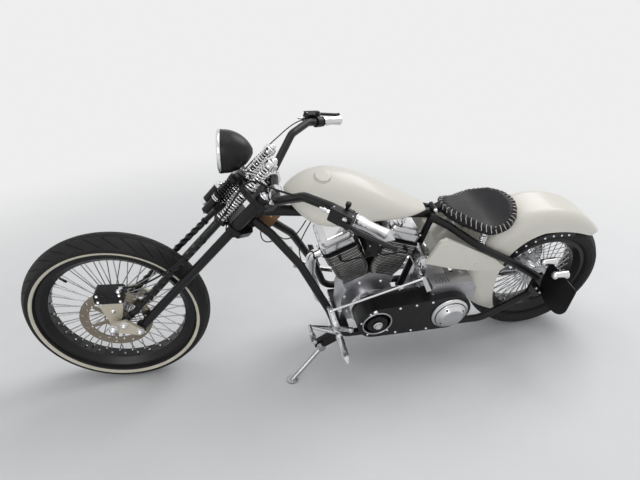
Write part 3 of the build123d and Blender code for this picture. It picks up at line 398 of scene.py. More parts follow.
def block(length, width, height, chamfer=1.5):
    """A box about the origin with chamfered edges."""
    mesh = bmesh.new()
    for signs in product((-1, 1), repeat=3):
        corner = [sign * size / 2 for sign, size in zip(signs, (length, width, height))]
        for axis in range(3):
            point = [c - sign * chamfer for c, sign in zip(corner, signs)]
            point[axis] = corner[axis]
            mesh.verts.new(point)
    bmesh.ops.convex_hull(mesh, input=mesh.verts)
    mesh.verts.index_update()
    shape = [v.co.copy() for v in mesh.verts], [[v.index for v in f.verts] for f in mesh.faces]
    mesh.free()
    return shape


def wire(points, radius, sides=8, closed=False):
    """A round wire along a list of points."""
    points = [Vector(point) for point in points]
    count = len(points)
    rims = []
    side = None
    for k, point in enumerate(points):
        before = points[k - 1] if k or closed else point
        after = points[(k + 1) % count] if k < count - 1 or closed else point
        along = (after - before).normalized()
        if side is None:
            side = along.orthogonal()
        side = (side - side.dot(along) * along).normalized()
        other = along.cross(side)
        ring = [polar(1, angle) for angle in around(sides)]
        rims.append([point + radius * (c * side + s * other) for c, s in ring])
    return skin(rims, "closed" if closed else "capped")


def helix(radius, low, high, turns, per_turn=20):
    count = int(turns * per_turn)
    return [
        (*polar(radius, 2 * math.pi * turns * k / count), low + (high - low) * k / count)
        for k in range(count + 1)
    ]


def button_screw(radius, height):
    """A round-headed screw with a hexagonal socket."""
    head = [(1, 0.25), (0.9, 0.65), (0.66, 0.95), (0.52, 1), (0.42, 1, HEX), (0.42, 0.35, HEX)]
    rows = [(radius * r, height * h, *sides) for r, h, *sides in head]
    return turned([(radius, -0.5), *rows, (0, height * 0.3)], 18)


def dome_rows(radius, low, high, steps=5):
    angles = [math.pi / 2 * k / steps for k in range(1, steps)]
    rows = [(radius * math.cos(a), low + (high - low) * math.sin(a)) for a in angles]
    return [*rows, (0, high)]


def dome_screw(radius, height):
    return turned([(radius, -0.5), (radius, 0.4), *dome_rows(radius, 0.4, height)], 20)


def hex_bolt(radius, height):
    """A hexagonal head on a washer."""
    washer = [(radius * 1.45, -0.5), (radius * 1.45, 1.2), (radius * 1.36, 1.8)]
    head = [(radius, 1.8, HEX), (radius, height - 1.2, HEX), (radius * 0.9, height)]
    hollow = [(radius * 0.4, height), (radius * 0.36, height - 0.8), (0, height - 0.8)]
    return turned(washer + head + hollow, 36)


def acorn_nut(radius, height):
    """A domed nut on a washer."""
    washer = [(radius * 1.3, -0.5), (radius * 1.3, 1.6), (radius * 1.22, 2.2)]
    nut = [(radius, 2.2, HEX), (radius, height * 0.42, HEX), (radius * 0.88, height * 0.5)]
    return turned(washer + nut + dome_rows(radius * 0.84, height * 0.5, height), 36)


def new_object(name, data):
    made = bpy.data.objects.new(name, data)
    bpy.context.collection.objects.link(made)
    return made


def smooth(mesh, crease):
    mesh.shade_smooth()
    mesh.set_sharp_from_angle(angle=math.radians(crease))


def add_piece(name, shapes, look, body="frame", place=None, crease=32.0, looks=()):
    """A mesh piece that rides on a body, in its frame; looks are more materials for its faces."""
    points, faces = moved(joined(shapes), place or PLACE_OF[body])
    mesh = bpy.data.meshes.new(name)
    mesh.from_pydata([tuple(point) for point in points], [], faces)
    work = bmesh.new()
    work.from_mesh(mesh)
    bmesh.ops.recalc_face_normals(work, faces=work.faces)
    work.to_mesh(mesh)
    work.free()
    smooth(mesh, crease)
    for material in (look, *looks):
        mesh.materials.append(material)
    piece = new_object(name, mesh)
    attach(piece, body)
    return piece


def add_cable(name, points, radius, body="frame"):
    """A held cable or hose: a smooth spline with these control points, in millimetres."""
    curve = bpy.data.curves.new(name, "CURVE")
    curve.dimensions = "3D"
    curve.bevel_depth = radius / 1000
    curve.bevel_resolution = 3
    curve.resolution_u = 10
    curve.use_fill_caps = True
    spline = curve.splines.new("NURBS")
    spline.points.add(len(points) - 1)
    for point, control in zip(points, spline.points):
        control.co = (*(PLACE_OF[body] @ Vector(point)), 1)
    spline.order_u = 3
    spline.use_endpoint_u = True
    curve.materials.append(BELT)
    piece = new_object(name, curve)
    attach(piece, body)


def apply_modifiers(piece):
    bpy.context.view_layer.update()
    evaluated = piece.evaluated_get(bpy.context.evaluated_depsgraph_get())
    mesh = bpy.data.meshes.new_from_object(evaluated)
    piece.modifiers.clear()
    piece.data = mesh


# Tyres. Crown rows: side as a share of the shoulder, share of a sipe's depth, depth of a ring
# groove. Wall rows: height as a share from the rim's edge to the shoulder, share of a sipe's
# depth, how far it stands out, whether the pale stripe runs there.
CROWN_ROWS = (
    (0.04, 0, 0), (0.10, 0, 0), (0.12, 0, 2.4), (0.16, 0, 2.4), (0.18, 0, 0), (0.27, 0, 0),
    (0.33, 0.9, 0), (0.42, 1, 0), (0.52, 1, 0), (0.62, 1, 0), (0.72, 1, 0), (0.82, 1, 0),
    (0.91, 1, 0),
)
WALL_TOP = (
    (1.0, 1, 0, False), (0.93, 0.9, 0, False), (0.86, 0.5, 0, False), (0.80, 0, 0, False),
    (0.79, 0, 0.8, False), (0.76, 0, 0.8, False), (0.75, 0, 0, False), (0.6, 0, 0, False),
)
PLAIN_WALL = WALL_TOP + (
    (0.45, 0, 0, False), (0.44, 0, 0.7, False), (0.41, 0, 0.7, False), (0.40, 0, 0, False),
    (0.2, 0, 0, False), (0.08, 0, 0, False), (0.0, 0, 0, False),
)
STRIPED_WALL = WALL_TOP + (
    (0.46, 0, 0, False), (0.445, 0, 0.8, True), (0.3, 0, 0.9, True), (0.15, 0, 0.9, True),
    (0.02, 0, 0.8, False), (0.0, 0, 0, False),
)
SIPE_STEPS = (0.0, 0.015, 0.085, 0.10, 0.25, 0.4, 0.55, 0.7, 0.85)
SIPE_FLOOR = (1, 2)
SWEEP_POWER = 1.6
FRONT_TYRE = {
    "radius": 370.0, "width": 124.0, "crown": 70.0, "rim_radius": 300.0, "rim_width": 84.0,
    "pitches": 34, "sweep": 15.0, "depth": 3.2, "wall_rows": STRIPED_WALL,
}
REAR_TYRE = {
    "radius": 328.0, "width": 172.0, "crown": 105.0, "rim_radius": 236.0, "rim_width": 118.0,
    "pitches": 30, "sweep": 19.0, "depth": 3.6, "wall_rows": PLAIN_WALL,
}


def circle_through(a, b, c):
    """The centre and the radius of the circle through three points of a plane."""
    (ax, ay), (bx, by), (cx, cy) = a, b, c
    d = 2 * (ax * (by - cy) + bx * (cy - ay) + cx * (ay - by))
    a2, b2, c2 = ax * ax + ay * ay, bx * bx + by * by, cx * cx + cy * cy
    x = (a2 * (by - cy) + b2 * (cy - ay) + c2 * (ay - by)) / d
    y = (a2 * (cx - bx) + b2 * (ax - cx) + c2 * (bx - ax)) / d
    return x, y, math.hypot(ax - x, ay - y)


def tyre_rows(size):
    """Half of a tyre's section, from the middle out: side, radius, share of a sipe, stripe."""
    radius, crown, rim = size["radius"], size["crown"], size["rim_radius"]
    shoulder = 0.38 * size["width"]
    shoulder_z = radius - crown + math.sqrt(crown**2 - shoulder**2)
    widest = (size["width"] / 2, (radius + rim) / 2 - 4)
    bead = size["rim_width"] / 2 - 0.3
    flange_z = rim + 11
    rows = []
    for side, share, groove in CROWN_ROWS:
        side *= shoulder
        height = radius - crown + math.sqrt(crown**2 - side**2)
        rows.append((side, height - groove, share, False))
    x, z, reach = circle_through((shoulder, shoulder_z), widest, (bead, flange_z))
    for height, share, raised, stripe in size["wall_rows"]:
        height = flange_z + height * (shoulder_z - flange_z)
        side = x + math.sqrt(max(reach**2 - (height - z) ** 2, 0))
        rows.append((side + raised, height, share, stripe))
    rows.append((bead, rim, 0, False))
    return rows


def add_tyre(name, node, body, size, centre):
    """A tyre whose shoulders have swept sipes, cut between its crown and its walls."""
    half = tyre_rows(size)
    rows = [(-side, *rest) for side, *rest in reversed(half)] + half
    pitch = 360.0 / size["pitches"]
    outlines = []
    for side, radius, share, _ in rows:
        lean = size["sweep"] * (abs(side) / (size["width"] / 2)) ** SWEEP_POWER
        if side > 0:
            lean += pitch / 2
        outline = []
        for k, (step, part) in product(range(size["pitches"]), enumerate(SIPE_STEPS)):
            cut = size["depth"] * share if step in SIPE_FLOOR else 0
            x, z = polar(radius - cut, math.radians(pitch * (k + part) + lean))
            outline.append((x, side, z))
        outlines.append(outline)
    shape = moved(skin(outlines, "closed"), shift(centre))
    piece = add_piece(name, [shape], RUBBER, body, crease=28.0, looks=(STRIPE,))
    striped = [row[3] and after[3] for row, after in zip(rows, rows[1:] + rows[:1])]
    for k, polygon in enumerate(piece.data.polygons):
        polygon.material_index = int(striped[k // len(outlines[0])])
    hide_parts(node)


def build_tyres():
    add_tyre("front_tyre_tread", "front_tyre", "front_wheel", FRONT_TYRE, (AXLE_AHEAD, 0, 0))
    add_tyre("rear_tyre_tread", "rear_tyre", "rear_wheel", REAR_TYRE, (0, 0, REAR_RADIUS))


# Wheels
SPOKES = 60
SPOKE_LEAN = math.radians(52)
DISC_HUB = (AXLE_AHEAD, 62, 0)
DISC_SLOTS = 24
SLOT_LEAN = math.radians(38)
SLOT_HALF = 5
SLOT_RADIUS = 3.2


def spoke_nipples(flange, offset, rim_inner):
    """The nipples at the rim's end of the spokes, in line with them."""
    nipple = turned([(2.6, 0), (3.4, 1), (3.4, 4), (4.2, 5), (4.2, 13), (3.2, 15), (0, 15)], 10)
    nipples = []
    for k, angle in enumerate(around(SPOKES)):
        side = 1 if k % 2 else -1
        root_x, root_z = polar(flange - 5, angle + side * SPOKE_LEAN)
        tip_x, tip_z = polar(rim_inner, angle)
        tip = Vector((tip_x, side * 8, tip_z))
        along = (tip - Vector((root_x, side * offset, root_z))).normalized()
        nipples.append(at(nipple, tip - 13 * along, along))
    return nipples


def disc_slot(angle, reach):
    """A slanted oval through the disc, longer than the disc is thick."""
    x, z = polar(reach, angle)
    middle = Vector(DISC_HUB) + Vector((x, 0, z))
    along_x, along_z = polar(1, angle + SLOT_LEAN)
    along = Vector((along_x, 0, along_z))
    across = Vector((-along_z, 0, along_x))
    outline = []
    for turn in around(16):
        c, s = polar(SLOT_RADIUS, turn)
        outline.append(middle + (math.copysign(SLOT_HALF, c) + c) * along + s * across)
    return skin([[point + Vector((0, y, 0)) for point in outline] for y in (-6, 6)], "capped")


def add_disc():
    """The front brake disc: a ring with slanted oval slots."""
    rim = turned([(106, -2.5), (142, -2.5), (142, 2.5), (106, 2.5), (106, -2.5)], 96)
    disc = add_piece("front_disc_rotor", [at(rim, DISC_HUB, LEFT)], DISC, "front_wheel")
    angles = enumerate(around(DISC_SLOTS))
    slots = [disc_slot(angle, 116 if k % 2 else 131) for k, angle in angles]
    cutter = add_piece("disc_slot_cutter", slots, DISC, "front_wheel")
    cut = disc.modifiers.new("slots", "BOOLEAN")
    cut.operation = "DIFFERENCE"
    cut.object = cutter
    cut.solver = "EXACT"
    apply_modifiers(disc)
    smooth(disc.data, 30)
    bpy.data.objects.remove(cutter)
    return disc


def add_disc_carrier():
    """Six arms and a hub that carry the disc, with its bolts."""
    arm = moved(block(72, 4.4, 17, 1.2), shift((76, 0, 0)))
    shapes = []
    for k in range(6):
        spin = Matrix.Rotation(-math.radians(60 * k), 4, "Y")
        shapes.append(moved(arm, shift(DISC_HUB), spin))
    edge = [(47, -2.7), (47.5, -2), (47.5, 2), (47, 2.7)]
    shapes.append(at(turned([(13, -2.7), *edge, (13, 2.7), (13, -2.7)], 48), DISC_HUB, LEFT))
    shapes.append(at(turned([(31, -15), (31, 0), (13, 0)], 36), DISC_HUB, LEFT))
    add_piece("front_disc_carrier", shapes, DISC, "front_wheel")
    middle = (AXLE_AHEAD, 0)
    bolts = ring_of(button_screw(4.5, 3.5), 6, 38, 64.7, LEFT, middle, math.radians(30))
    bolts += ring_of(button_screw(4.2, 2.6), 6, 107, 64.4, LEFT, middle)
    add_piece("front_disc_bolts", bolts, CHROME, "front_wheel")


def build_wheels():
    """Spoke nipples, the front disc and valve, and the rear pulley's bolts and teeth."""
    front, rear = shift((AXLE_AHEAD, 0, 0)), shift((0, 0, REAR_RADIUS))
    nipples = [moved(shape, front) for shape in spoke_nipples(42, 40, 268)]
    add_piece("front_nipples", nipples, CHROME, "front_wheel")
    nipples = [moved(shape, rear) for shape in spoke_nipples(56, 42, 208)]
    add_piece("rear_nipples", nipples, CHROME, "rear_wheel")
    disc = add_disc()
    add_disc_carrier()
    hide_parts("front_disc")
    valve = turned([(4, 0), (4, 18), (5, 19), (5, 28), (3.6, 31), (0, 31)], 12)
    add_piece("front_valve", [at(valve, (AXLE_AHEAD + 262, 0, 0), BACK)], BLACK, "front_wheel")
    bolts = ring_of(hex_bolt(6, 6), 5, 45, -103.5, RIGHT, (0, REAR_RADIUS), 0.3)
    add_piece("rear_pulley_bolts", bolts, CHROME, "rear_wheel")
    tooth = moved(block(2.2, 13, 4, 0.8), shift((117, 0, 0)))
    pulley = shift((0, -99, REAR_RADIUS))
    teeth = [moved(tooth, pulley, Matrix.Rotation(-angle, 4, "Y")) for angle in around(72)]
    add_piece("rear_pulley_teeth", teeth, POLISHED, "rear_wheel")


# Fork: ahead of the steering axis, half of the distance across, and heights along it
LEG_AHEAD = 52
LEG_HALF = 90
SPRING_AHEAD = 104
SPRING_HALF = 60
LOWER_TREE = (640.56, 664.56)
UPPER_TREE = (786.56, 808.56)
SPRING_TOP = 926.56
# Each spring's ends and its turns
SPRING_SPANS = ((648.56, UPPER_TREE[0], 11), (UPPER_TREE[1], SPRING_TOP, 9.5))
ROCKER_SIDE = 120.3
BAR_AHEAD = 20
RISER_HALF = 60
BAR_ALONG = 852.56
SHOCK_LOW = 604.56
SHOCK_AHEAD = 150
RESERVOIR = (162, -38)


def build_rocker_nuts():
    nuts = []
    for side in (1, -1):
        way = (0, side, 0)
        nuts.append(at(acorn_nut(15, 24), (AXLE_AHEAD, side * (ROCKER_SIDE + 2), 0), way))
        for ahead, along in ((55, 46.7), (122, 38.7)):
            nuts.append(at(acorn_nut(12, 19), (ahead, side * ROCKER_SIDE, along), way))
    add_piece("rocker_nuts", nuts, CHROME, "fork")


def build_springs():
    """The wound springs in place of the solid ones, between cups, with a cap on top."""
    cup = turned(
        [(14, 0), (23.5, 0), (23.8, 1), (23.8, 6), (23, 7), (21.6, 7), (21.6, 1.2), (14, 1.2)], 32
    )
    rim = turned([(22, 0), (23, 0.6), (23, 11), (22, 12.4), (18, 12.6), (0, 12.6)], 32)
    cups = []
    coils = []
    for side in (-1, 1):
        spot = (SPRING_AHEAD, side * SPRING_HALF)
        for low, high, turns in SPRING_SPANS:
            cups += [at(cup, (*spot, low)), at(cup, (*spot, high), DOWN)]
            coil = wire(helix(17.2, low + 3.8, high - 3.8, turns), 3.7, 10)
            coils.append(moved(coil, shift((*spot, 0))))
        cups.append(at(acorn_nut(13, 20), (*spot, SPRING_TOP + 11.5)))
        cups.append(at(rim, (*spot, SPRING_TOP)))
    add_piece("spring_cups", cups, CHROME, "fork")
    springs = add_piece("fork_coils", coils, CHROME, "fork")
    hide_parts("fork_springs")


def build_trees():
    """The caps and pinch bolts of the trees, and dark rings round the legs."""
    caps = []
    rings = []
    ring = turned([(22, 0), (23.2, 0.5), (23.2, 5.5), (22, 6)], 36)
    heights = (LOWER_TREE[0] - 9, LOWER_TREE[1] + 2, UPPER_TREE[0] - 8, UPPER_TREE[1] + 2)
    for side in (-1, 1):
        spot = (LEG_AHEAD, side * LEG_HALF)
        caps.append(at(hex_bolt(13.4, 12), (*spot, UPPER_TREE[1] + 18)))
        for height in (LOWER_TREE[0] + 12, UPPER_TREE[0] + 11):
            pinch = (LEG_AHEAD + 28, side * (LEG_HALF + 8), height)
            caps.append(at(button_screw(6, 4), pinch, AHEAD))
        rings += copies(ring, [(*spot, height) for height in heights])
    caps.append(at(hex_bolt(21, 13), (0, 0, UPPER_TREE[1] + 11)))
    add_piece("tree_bolts", caps, CHROME, "fork")
    add_piece("leg_rings", rings, BLACK, "fork")


def build_shock():
    """The damper's coil, its adjuster rings and the ends of its reservoir."""
    spring = wire(helix(16.5, SHOCK_LOW + 88, 768, 6.5), 3.4)
    add_piece("shock_coil", [moved(spring, shift((SHOCK_AHEAD, 0, 0)))], BLACK, "fork")
    knurl = turned([(16, 0), (18.6, 0.5, OCTAGON), (18.6, 5, OCTAGON), (16, 5.5)], 32)
    fittings = copies(knurl, [(SHOCK_AHEAD, 0, SHOCK_LOW + height) for height in (66, 74)])
    fittings.append(at(acorn_nut(9, 12), (SHOCK_AHEAD, 0, SHOCK_LOW), DOWN))
    end = turned(
        [(17, -14), (18, -13.5), (18, 1), (16.5, 2.6), (7, 3), (6, 9), (4.4, 11), (0, 11)], 28
    )
    for height, way in ((10, DOWN), (110, UP)):
        fittings.append(at(end, (*RESERVOIR, SHOCK_LOW + height), way))
    add_piece("shock_fittings", fittings, CHROME, "fork")


def build_headlight():
    """The rim, the reflector, the bulb and the seam, about the lamp's axis, and its bolts."""
    place = aimed(fork_point(214, 0, UPPER_TREE[1] + 58), AHEAD)
    rim = [
        (76, 46), (77.6, 46.6), (78.2, 48), (78, 53), (76, 57), (72, 59.6), (68.4, 59.2),
        (66.8, 56.5), (66.8, 50),
    ]
    bowl = [(66.2 * k / 12, 6.5 + 40 * (k / 12) ** 2.2) for k in range(13)]
    bulb = [(9, 6), (9, 12), (7.5, 13), (7.5, 28), (6, 32), (3, 34.5), (0, 35)]
    seam = [(76, 41), (76.9, 41.6), (76.9, 45.6), (76, 46)]
    for name, profile, count, look in (
        ("rim", rim, 72, CHROME),
        ("reflector", bowl, 64, CHROME),
        ("bulb", bulb, 24, BRASS),
        ("seam", seam, 64, BLACK),
    ):
        shape = moved(turned(profile, count), place)
        add_piece("headlight_" + name, [shape], look, "fork", STRAIGHT)
    bolts = []
    for side in (-1, 1):
        bolts.append(at(hex_bolt(7, 6), (172, side * 20, UPPER_TREE[1] + 4), (0, side, 0)))
        bolts.append(at(acorn_nut(7, 9), (122, side * 12, UPPER_TREE[1] + 8)))
    add_piece("lamp_bolts", bolts, CHROME, "fork")


# Handlebar
GRIP_START = Vector((-88, 392, 1064.56))
BAR_LAST = Vector((-30, 345, 1034.56))
BAR_ALONG_GRIP = (GRIP_START - BAR_LAST).normalized()
MASTER_AHEAD = Vector((0.9, 0.3, -0.42))
MASTER_BACK = 22


def master_place():
    """The frame of the master cylinder: Z towards the grip, X ahead, -Y up."""
    z = BAR_ALONG_GRIP
    x = (MASTER_AHEAD - MASTER_AHEAD.dot(z) * z).normalized()
    turn = Matrix((x, z.cross(x), z)).transposed().to_4x4()
    return shift(GRIP_START - MASTER_BACK * z) @ turn


def add_pair(name, shapes, look, place, crease=32.0):
    """Shapes on the left half of the handlebar, and the same mirrored on the right."""
    left = [moved(shape, place) for shape in shapes]
    return add_piece(name, both_sides(left), look, "fork", crease=crease)


def build_grips():
    """Faceted, polished grips that flare to a pointed end, each behind two rings."""
    facets = faceted(
        [
            (16.4, 2), (18.6, 12), (19.2, 22), (17.0, 40), (16.2, 60), (17.0, 82), (19.6, 108),
            (19.9, 112),
        ]
    )
    place = aimed(GRIP_START, BAR_ALONG_GRIP)
    half_facet = Matrix.Rotation(math.radians(22.5), 4, "Z")
    grip = turned([*facets, (0, 139.5)], 8)
    piece = add_pair("grip_bodies", [grip], POLISHED, place @ half_facet, crease=12.0)
    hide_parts("grips")
    dark = turned([(16.4, 0), (21.2, 0.6), (21.6, 2), (21.6, 4.6), (21, 5.4), (18, 5.4)], 36)
    bright = turned([(18, 5.4), (21, 5.6), (21.4, 7), (21.4, 9.4), (20.6, 10.4), (16, 10.6)], 36)
    cuff = turned([(16.4, -12), (19.4, -11.4), (19.8, -9), (19.8, -1), (19, 0), (16.4, 0)], 36)
    add_pair("grip_rings_black", [dark, cuff], BLACK, place)
    add_pair("grip_rings_chrome", [bright], CHROME, place)


def build_masters():
    """The lid, its studs, the clamp's bolts and the hose fittings of both master cylinders."""
    lid = moved(block(36, 5, 76, 1.6), shift((38, -21.6, -6)))
    studs = [(28 + 6.6 * k, -24, -34 + 7 * j) for k in range(4) for j in range(9)]
    cheek = moved(block(16, 24, 24, 2.4), shift((58, 0, 12)))
    knob = turned([(5, 0), (5, 14), (8, 15), (8.6, 17), (8.6, 27), (7.6, 28.6), (0, 29)], 20)
    black = [lid, cheek, at(knob, (8, -16, -8), RIGHT)]
    black += copies(dome_screw(1.9, 1.1), studs, RIGHT)
    place = master_place()
    add_pair("master_lids", black, BLACK, place)
    bright = copies(button_screw(2.8, 1.8), [(38, -24, -38), (38, -24, 26)], RIGHT)
    bright.append(at(hex_bolt(6.5, 6), (58, -12, 12), RIGHT))
    bright.append(at(hex_bolt(5, 6), (58, 12, 12), LEFT))
    barrel = [
        (7, 0), (7.4, 1), (7.4, 9), (5.6, 10), (5.6, 15), (6.8, 16), (6.8, 24), (4, 26), (4, 36),
        (3, 38),
    ]
    bright.append(at(turned(barrel, 18), (38, 0, -43), DOWN))
    add_pair("master_fittings", bright, CHROME, place)


def build_risers():
    """Chrome risers with a clamp round the bar, and the bolts of the clamps."""
    riser = turned(
        [(24, 0), (24.6, 1), (24.6, 5), (20, 8), (18.6, 10), (18.6, 24), (21, 28), (21, 34)], 36
    )
    clamp = turned([(16.3, -18), (23.8, -18), (24.8, -17), (24.8, 17), (23.8, 18), (16.3, 18)], 40)
    shapes = []
    for side in (-1, 1):
        y = side * RISER_HALF
        shapes.append(at(riser, (BAR_AHEAD, y, UPPER_TREE[1])))
        shapes.append(at(clamp, (BAR_AHEAD, y, BAR_ALONG), LEFT))
        bolts = [(BAR_AHEAD, y + across, BAR_ALONG + 24) for across in (-10, 10)]
        shapes += copies(button_screw(5, 4.5), bolts)
    add_piece("risers", shapes, CHROME, "fork")


# Brake and hoses
CALIPER = (1928, 504)
CALIPER_OUTER = 95
CALIPER_INNER = 37
BRAKE_HOSE = [
    (-38, 398, 1046), (-22, 374, 1036), (10, 330, 1012), (52, 262, 962), (92, 190, 908),
    (124, 128, 876), (146, 108, 838), (140, 118, 780), (128, 124, 700), (122, 122, 600),
    (124, 122, 480), (142, 118, 350), (176, 108, 240), (205, 92, 190), (224, 84, 164),
]
RIGHT_CABLE = [
    (-38, -398, 1046), (-18, -370, 1034), (30, -300, 996), (70, -205, 930), (104, -120, 880),
    (132, -40, 846), (138, -16, 816),
]
HOSE_ENDS = (
    ((138, -16, 824), DOWN), ((217, 87, 178), (7, -3, -14)),
    ((-31, 388, 1042), (-0.72, 0.585, 0.373)), ((-31, -388, 1042), (-0.72, -0.585, 0.373)),
)


def build_caliper():
    """The bolts and piston covers of the caliper, and the nuts of its plate."""
    bolts = []
    for x, z in product((-42, 42), (-15, 15)):
        x, z = CALIPER[0] + x, CALIPER[1] + z
        bolts.append(at(button_screw(6.6, 5), (x, CALIPER_OUTER, z), LEFT))
        bolts.append(at(hex_bolt(5, 5), (x, CALIPER_INNER, z), RIGHT))
    bolts.append(at(hex_bolt(7, 8), (1888, 86, 530)))
    add_piece("caliper_bolts", bolts, CHROME, "fork", STRAIGHT)
    cover = turned([(17, -0.5), (17, 1), (15.5, 2.4), (9, 2.4), (8, 1.2), (0, 1.2)], 36)
    spots = [(CALIPER[0] + x, CALIPER_OUTER, CALIPER[1]) for x in (-20, 20)]
    add_piece("caliper_pistons", copies(cover, spots, LEFT), BLACK, "fork", STRAIGHT)
    nuts = copies(acorn_nut(7, 10), [(1930, 75.4, 420), (1966, 75.4, 462)], LEFT)
    add_piece("bracket_nuts", nuts, CHROME, "fork", STRAIGHT)


def build_hoses():
    """The front brake hose, the right cable, their ends and the hose's clips."""
    add_cable("front_brake_hose", BRAKE_HOSE, 3.6, "fork")
    add_cable("right_cable", RIGHT_CABLE, 2.4, "fork")
    ferrule = turned([(3, 0), (5, 0.5), (5, 9), (6.4, 10), (6.4, 17), (4, 18.5), (0, 18.5)], 16)
    ends = [at(ferrule, spot, way) for spot, way in HOSE_ENDS]
    add_piece("hose_ends", ends, CHROME, "fork")
    clip = turned([(3.8, -5), (5.2, -4.6), (5.2, 4.6), (3.8, 5)], 16)
    add_piece("hose_clips", copies(clip, [(128, 124, 700), (123, 122, 540)]), BLACK, "fork")


CRANK = (867, 335)
CYLINDER_TILT = 22.5
ENGINE_LEAN = 3
NECK_WIRES = {
    "neck_wire_a": [
        (1282, 34, 742), (1262, 40, 712), (1226, 44, 706), (1186, 40, 736), (1160, 34, 786)
    ],
    "neck_wire_b": [(1180, 96, 612), (1196, 70, 664), (1178, 50, 716), (1140, 40, 786)],
    "neck_wire_c": [
        (1330, 28, 800), (1344, 44, 742), (1322, 52, 706), (1286, 48, 712), (1252, 62, 690)
    ],
}
FUEL_LINE = [(760, 52, 748), (762, 52, 716), (790, 30, 690), (830, -8, 668), (868, -38, 660)]


def cylinder_place(side):
    """The frame of one cylinder, Z along its axis from the crank; side is 1 in front."""
    tilt = math.radians(ENGINE_LEAN + side * CYLINDER_TILT)
    return shift((CRANK[0], 0, CRANK[1])) @ Matrix.Rotation(tilt, 4, "Y")


def build_leads():
    """The plug leads with their boots, the wires at the neck, the fuel tap and its line."""
    boot = turned([(4.2, 0), (7.4, 1), (7.8, 12), (6.4, 20), (5.4, 26), (3.8, 28)], 18)
    for side, name in ((1, "front"), (-1, "rear")):
        place = cylinder_place(side)
        plug = place @ Vector((side * 18, 92, 322))
        out = place @ Vector((side * 18, 128, 334))
        start = Vector((884 + side * 16, 94, 640))
        rise = start + Vector((side * 10, 22, -8))
        bend = (start + out) / 2 + Vector((side * 4, 18, 14))
        add_cable("plug_lead_" + name, [start, rise, bend, out, plug], 3.6)
        root = place @ Vector((side * 18, 80, 319))
        add_piece("plug_boot_" + name, [at(boot, root, (out - plug).normalized())], BLACK)
    for name, points in NECK_WIRES.items():
        add_cable(name, points, 2.3)
    tap = turned([(9, 0), (9, 10), (6, 12), (6, 26), (8, 27), (8, 40), (4, 42), (0, 42)], 20)
    handle = moved(block(26, 5, 7, 1.6), shift((768, 60, 764)))
    add_piece("fuel_tap", [at(tap, (760, 52, 786), DOWN), handle], CHROME)
    add_cable("fuel_line", FUEL_LINE, 3.4)


# Engine. Each row of fins: the first one's height, the pitch, the count and the thickness, then
# how far above it a thin fin stands and how thick that is
FIN_ROWS = ((156.75, 13.5, 10, 4, 7.55, 2.6), (288.0, 16.25, 4, 5, 9.125, 3))
FIN_CORNER = 30.0
FIN_GAP = 4
BARREL_SIZE = (150.0, 150.0)
HEAD_SIZE = (160.0, 168.0)
HEAD_LOW = 285.0
CORE_SHARE = 0.72
ROCKER_BOX = (152, 176, 22)
TIMING_SCREWS = (
    (806, 306), (842, 268), (898, 268), (938, 330), (938, 392), (902, 422), (832, 422), (802, 386)
)
TIMING_FACE = -108
AIR = (884, 620)
EXHAUST_SIDE = -218
# Each port: the cylinder's side, the flange's place and way, and its two nuts
EXHAUST_PORTS = (
    (1, (82, 0, 322), AHEAD, ((84, -27, 322), (84, 27, 322))),
    (-1, (-56, -84.5, 322), RIGHT, ((-83, -86, 322), (-29, -86, 322))),
)


def rounded_outline(length, width, corner, z, grow=0.0):
    """A rounded rectangle in the XY plane, grown by an offset."""
    x, y = length / 2 - corner, width / 2 - corner
    points = []
    for cx, cy, start in ((x, y, 0), (-x, y, 90), (-x, -y, 180), (x, -y, 270)):
        for k in range(8):
            dx, dy = polar(corner + grow, math.radians(start + 90 * k / 7))
            points.append((cx + dx, cy + dy, z))
    return points


def edge_band(length, width, corner, low, high, grow, back):
    """A band round a rounded rectangle, with a lip back over its upper edge."""
    heights = ((low, grow), (high, grow), (high, back))
    return skin([rounded_outline(length, width, corner, z, g) for z, g in heights])


def fin_size(z):
    """The length and width of a fin at a height; the barrels' fins keep clear of each other."""
    if z > HEAD_LOW:
        return HEAD_SIZE
    reach = z * math.tan(math.radians(CYLINDER_TILT)) - FIN_GAP
    return min(BARREL_SIZE[0], 2 * reach), BARREL_SIZE[1]


def fin_edge(z, thickness):
    """The machined edge of a fin: a bright band just proud of it."""
    return edge_band(*fin_size(z), FIN_CORNER, z + 0.5, z + thickness - 0.5, 0.3, -1.5)


def thin_fin(z, thickness):
    outer = (*fin_size(z), FIN_CORNER)
    inner = (*(CORE_SHARE * size for size in fin_size(z)), FIN_CORNER * 0.8)
    top = z + thickness
    rows = ((inner, z), (outer, z), (outer, top), (inner, top))
    return skin([rounded_outline(*size, height) for size, height in rows], "closed")


def build_fins():
    """Bright edges on the cast fins, and a thinner fin in each gap."""
    edges = []
    between = []
    cylinders = (cylinder_place(-1), cylinder_place(1))
    for place, (first, pitch, count, thick, rise, thin) in product(cylinders, FIN_ROWS):
        for k in range(count):
            z = first + pitch * k
            edges.append(moved(fin_edge(z, thick), place))
            if k < count - 1:
                between.append(moved(thin_fin(z + rise, thin), place))
                edges.append(moved(fin_edge(z + rise, thin), place))
    add_piece("fin_edges", edges, FIN_EDGE)
    add_piece("thin_fins", between, WRINKLE)


def build_rocker_boxes():
    """The screws and ribs of the rocker boxes, and the gaskets at both seams."""
    bright = []
    gaskets = []
    rib = moved(block(70, 118, 4, 1.6), shift((0, 0, 398.4)))
    screws = [(x, y, 383.8) for x in (-69, 69) for y in (-80, -27, 27, 80)]
    for side in (-1, 1):
        place = cylinder_place(side) @ shift((0, -20, 0))
        shapes = [*copies(button_screw(4.6, 5), screws), rib]
        bright += [moved(shape, place) for shape in shapes]
        for z, grow in ((351, 0.5), (383, 0.35)):
            gaskets.append(moved(edge_band(*ROCKER_BOX, z, z + 1.2, grow, -1), place))
    add_piece("rocker_box_screws", bright, CHROME)
    add_piece("rocker_gaskets", gaskets, BLACK)


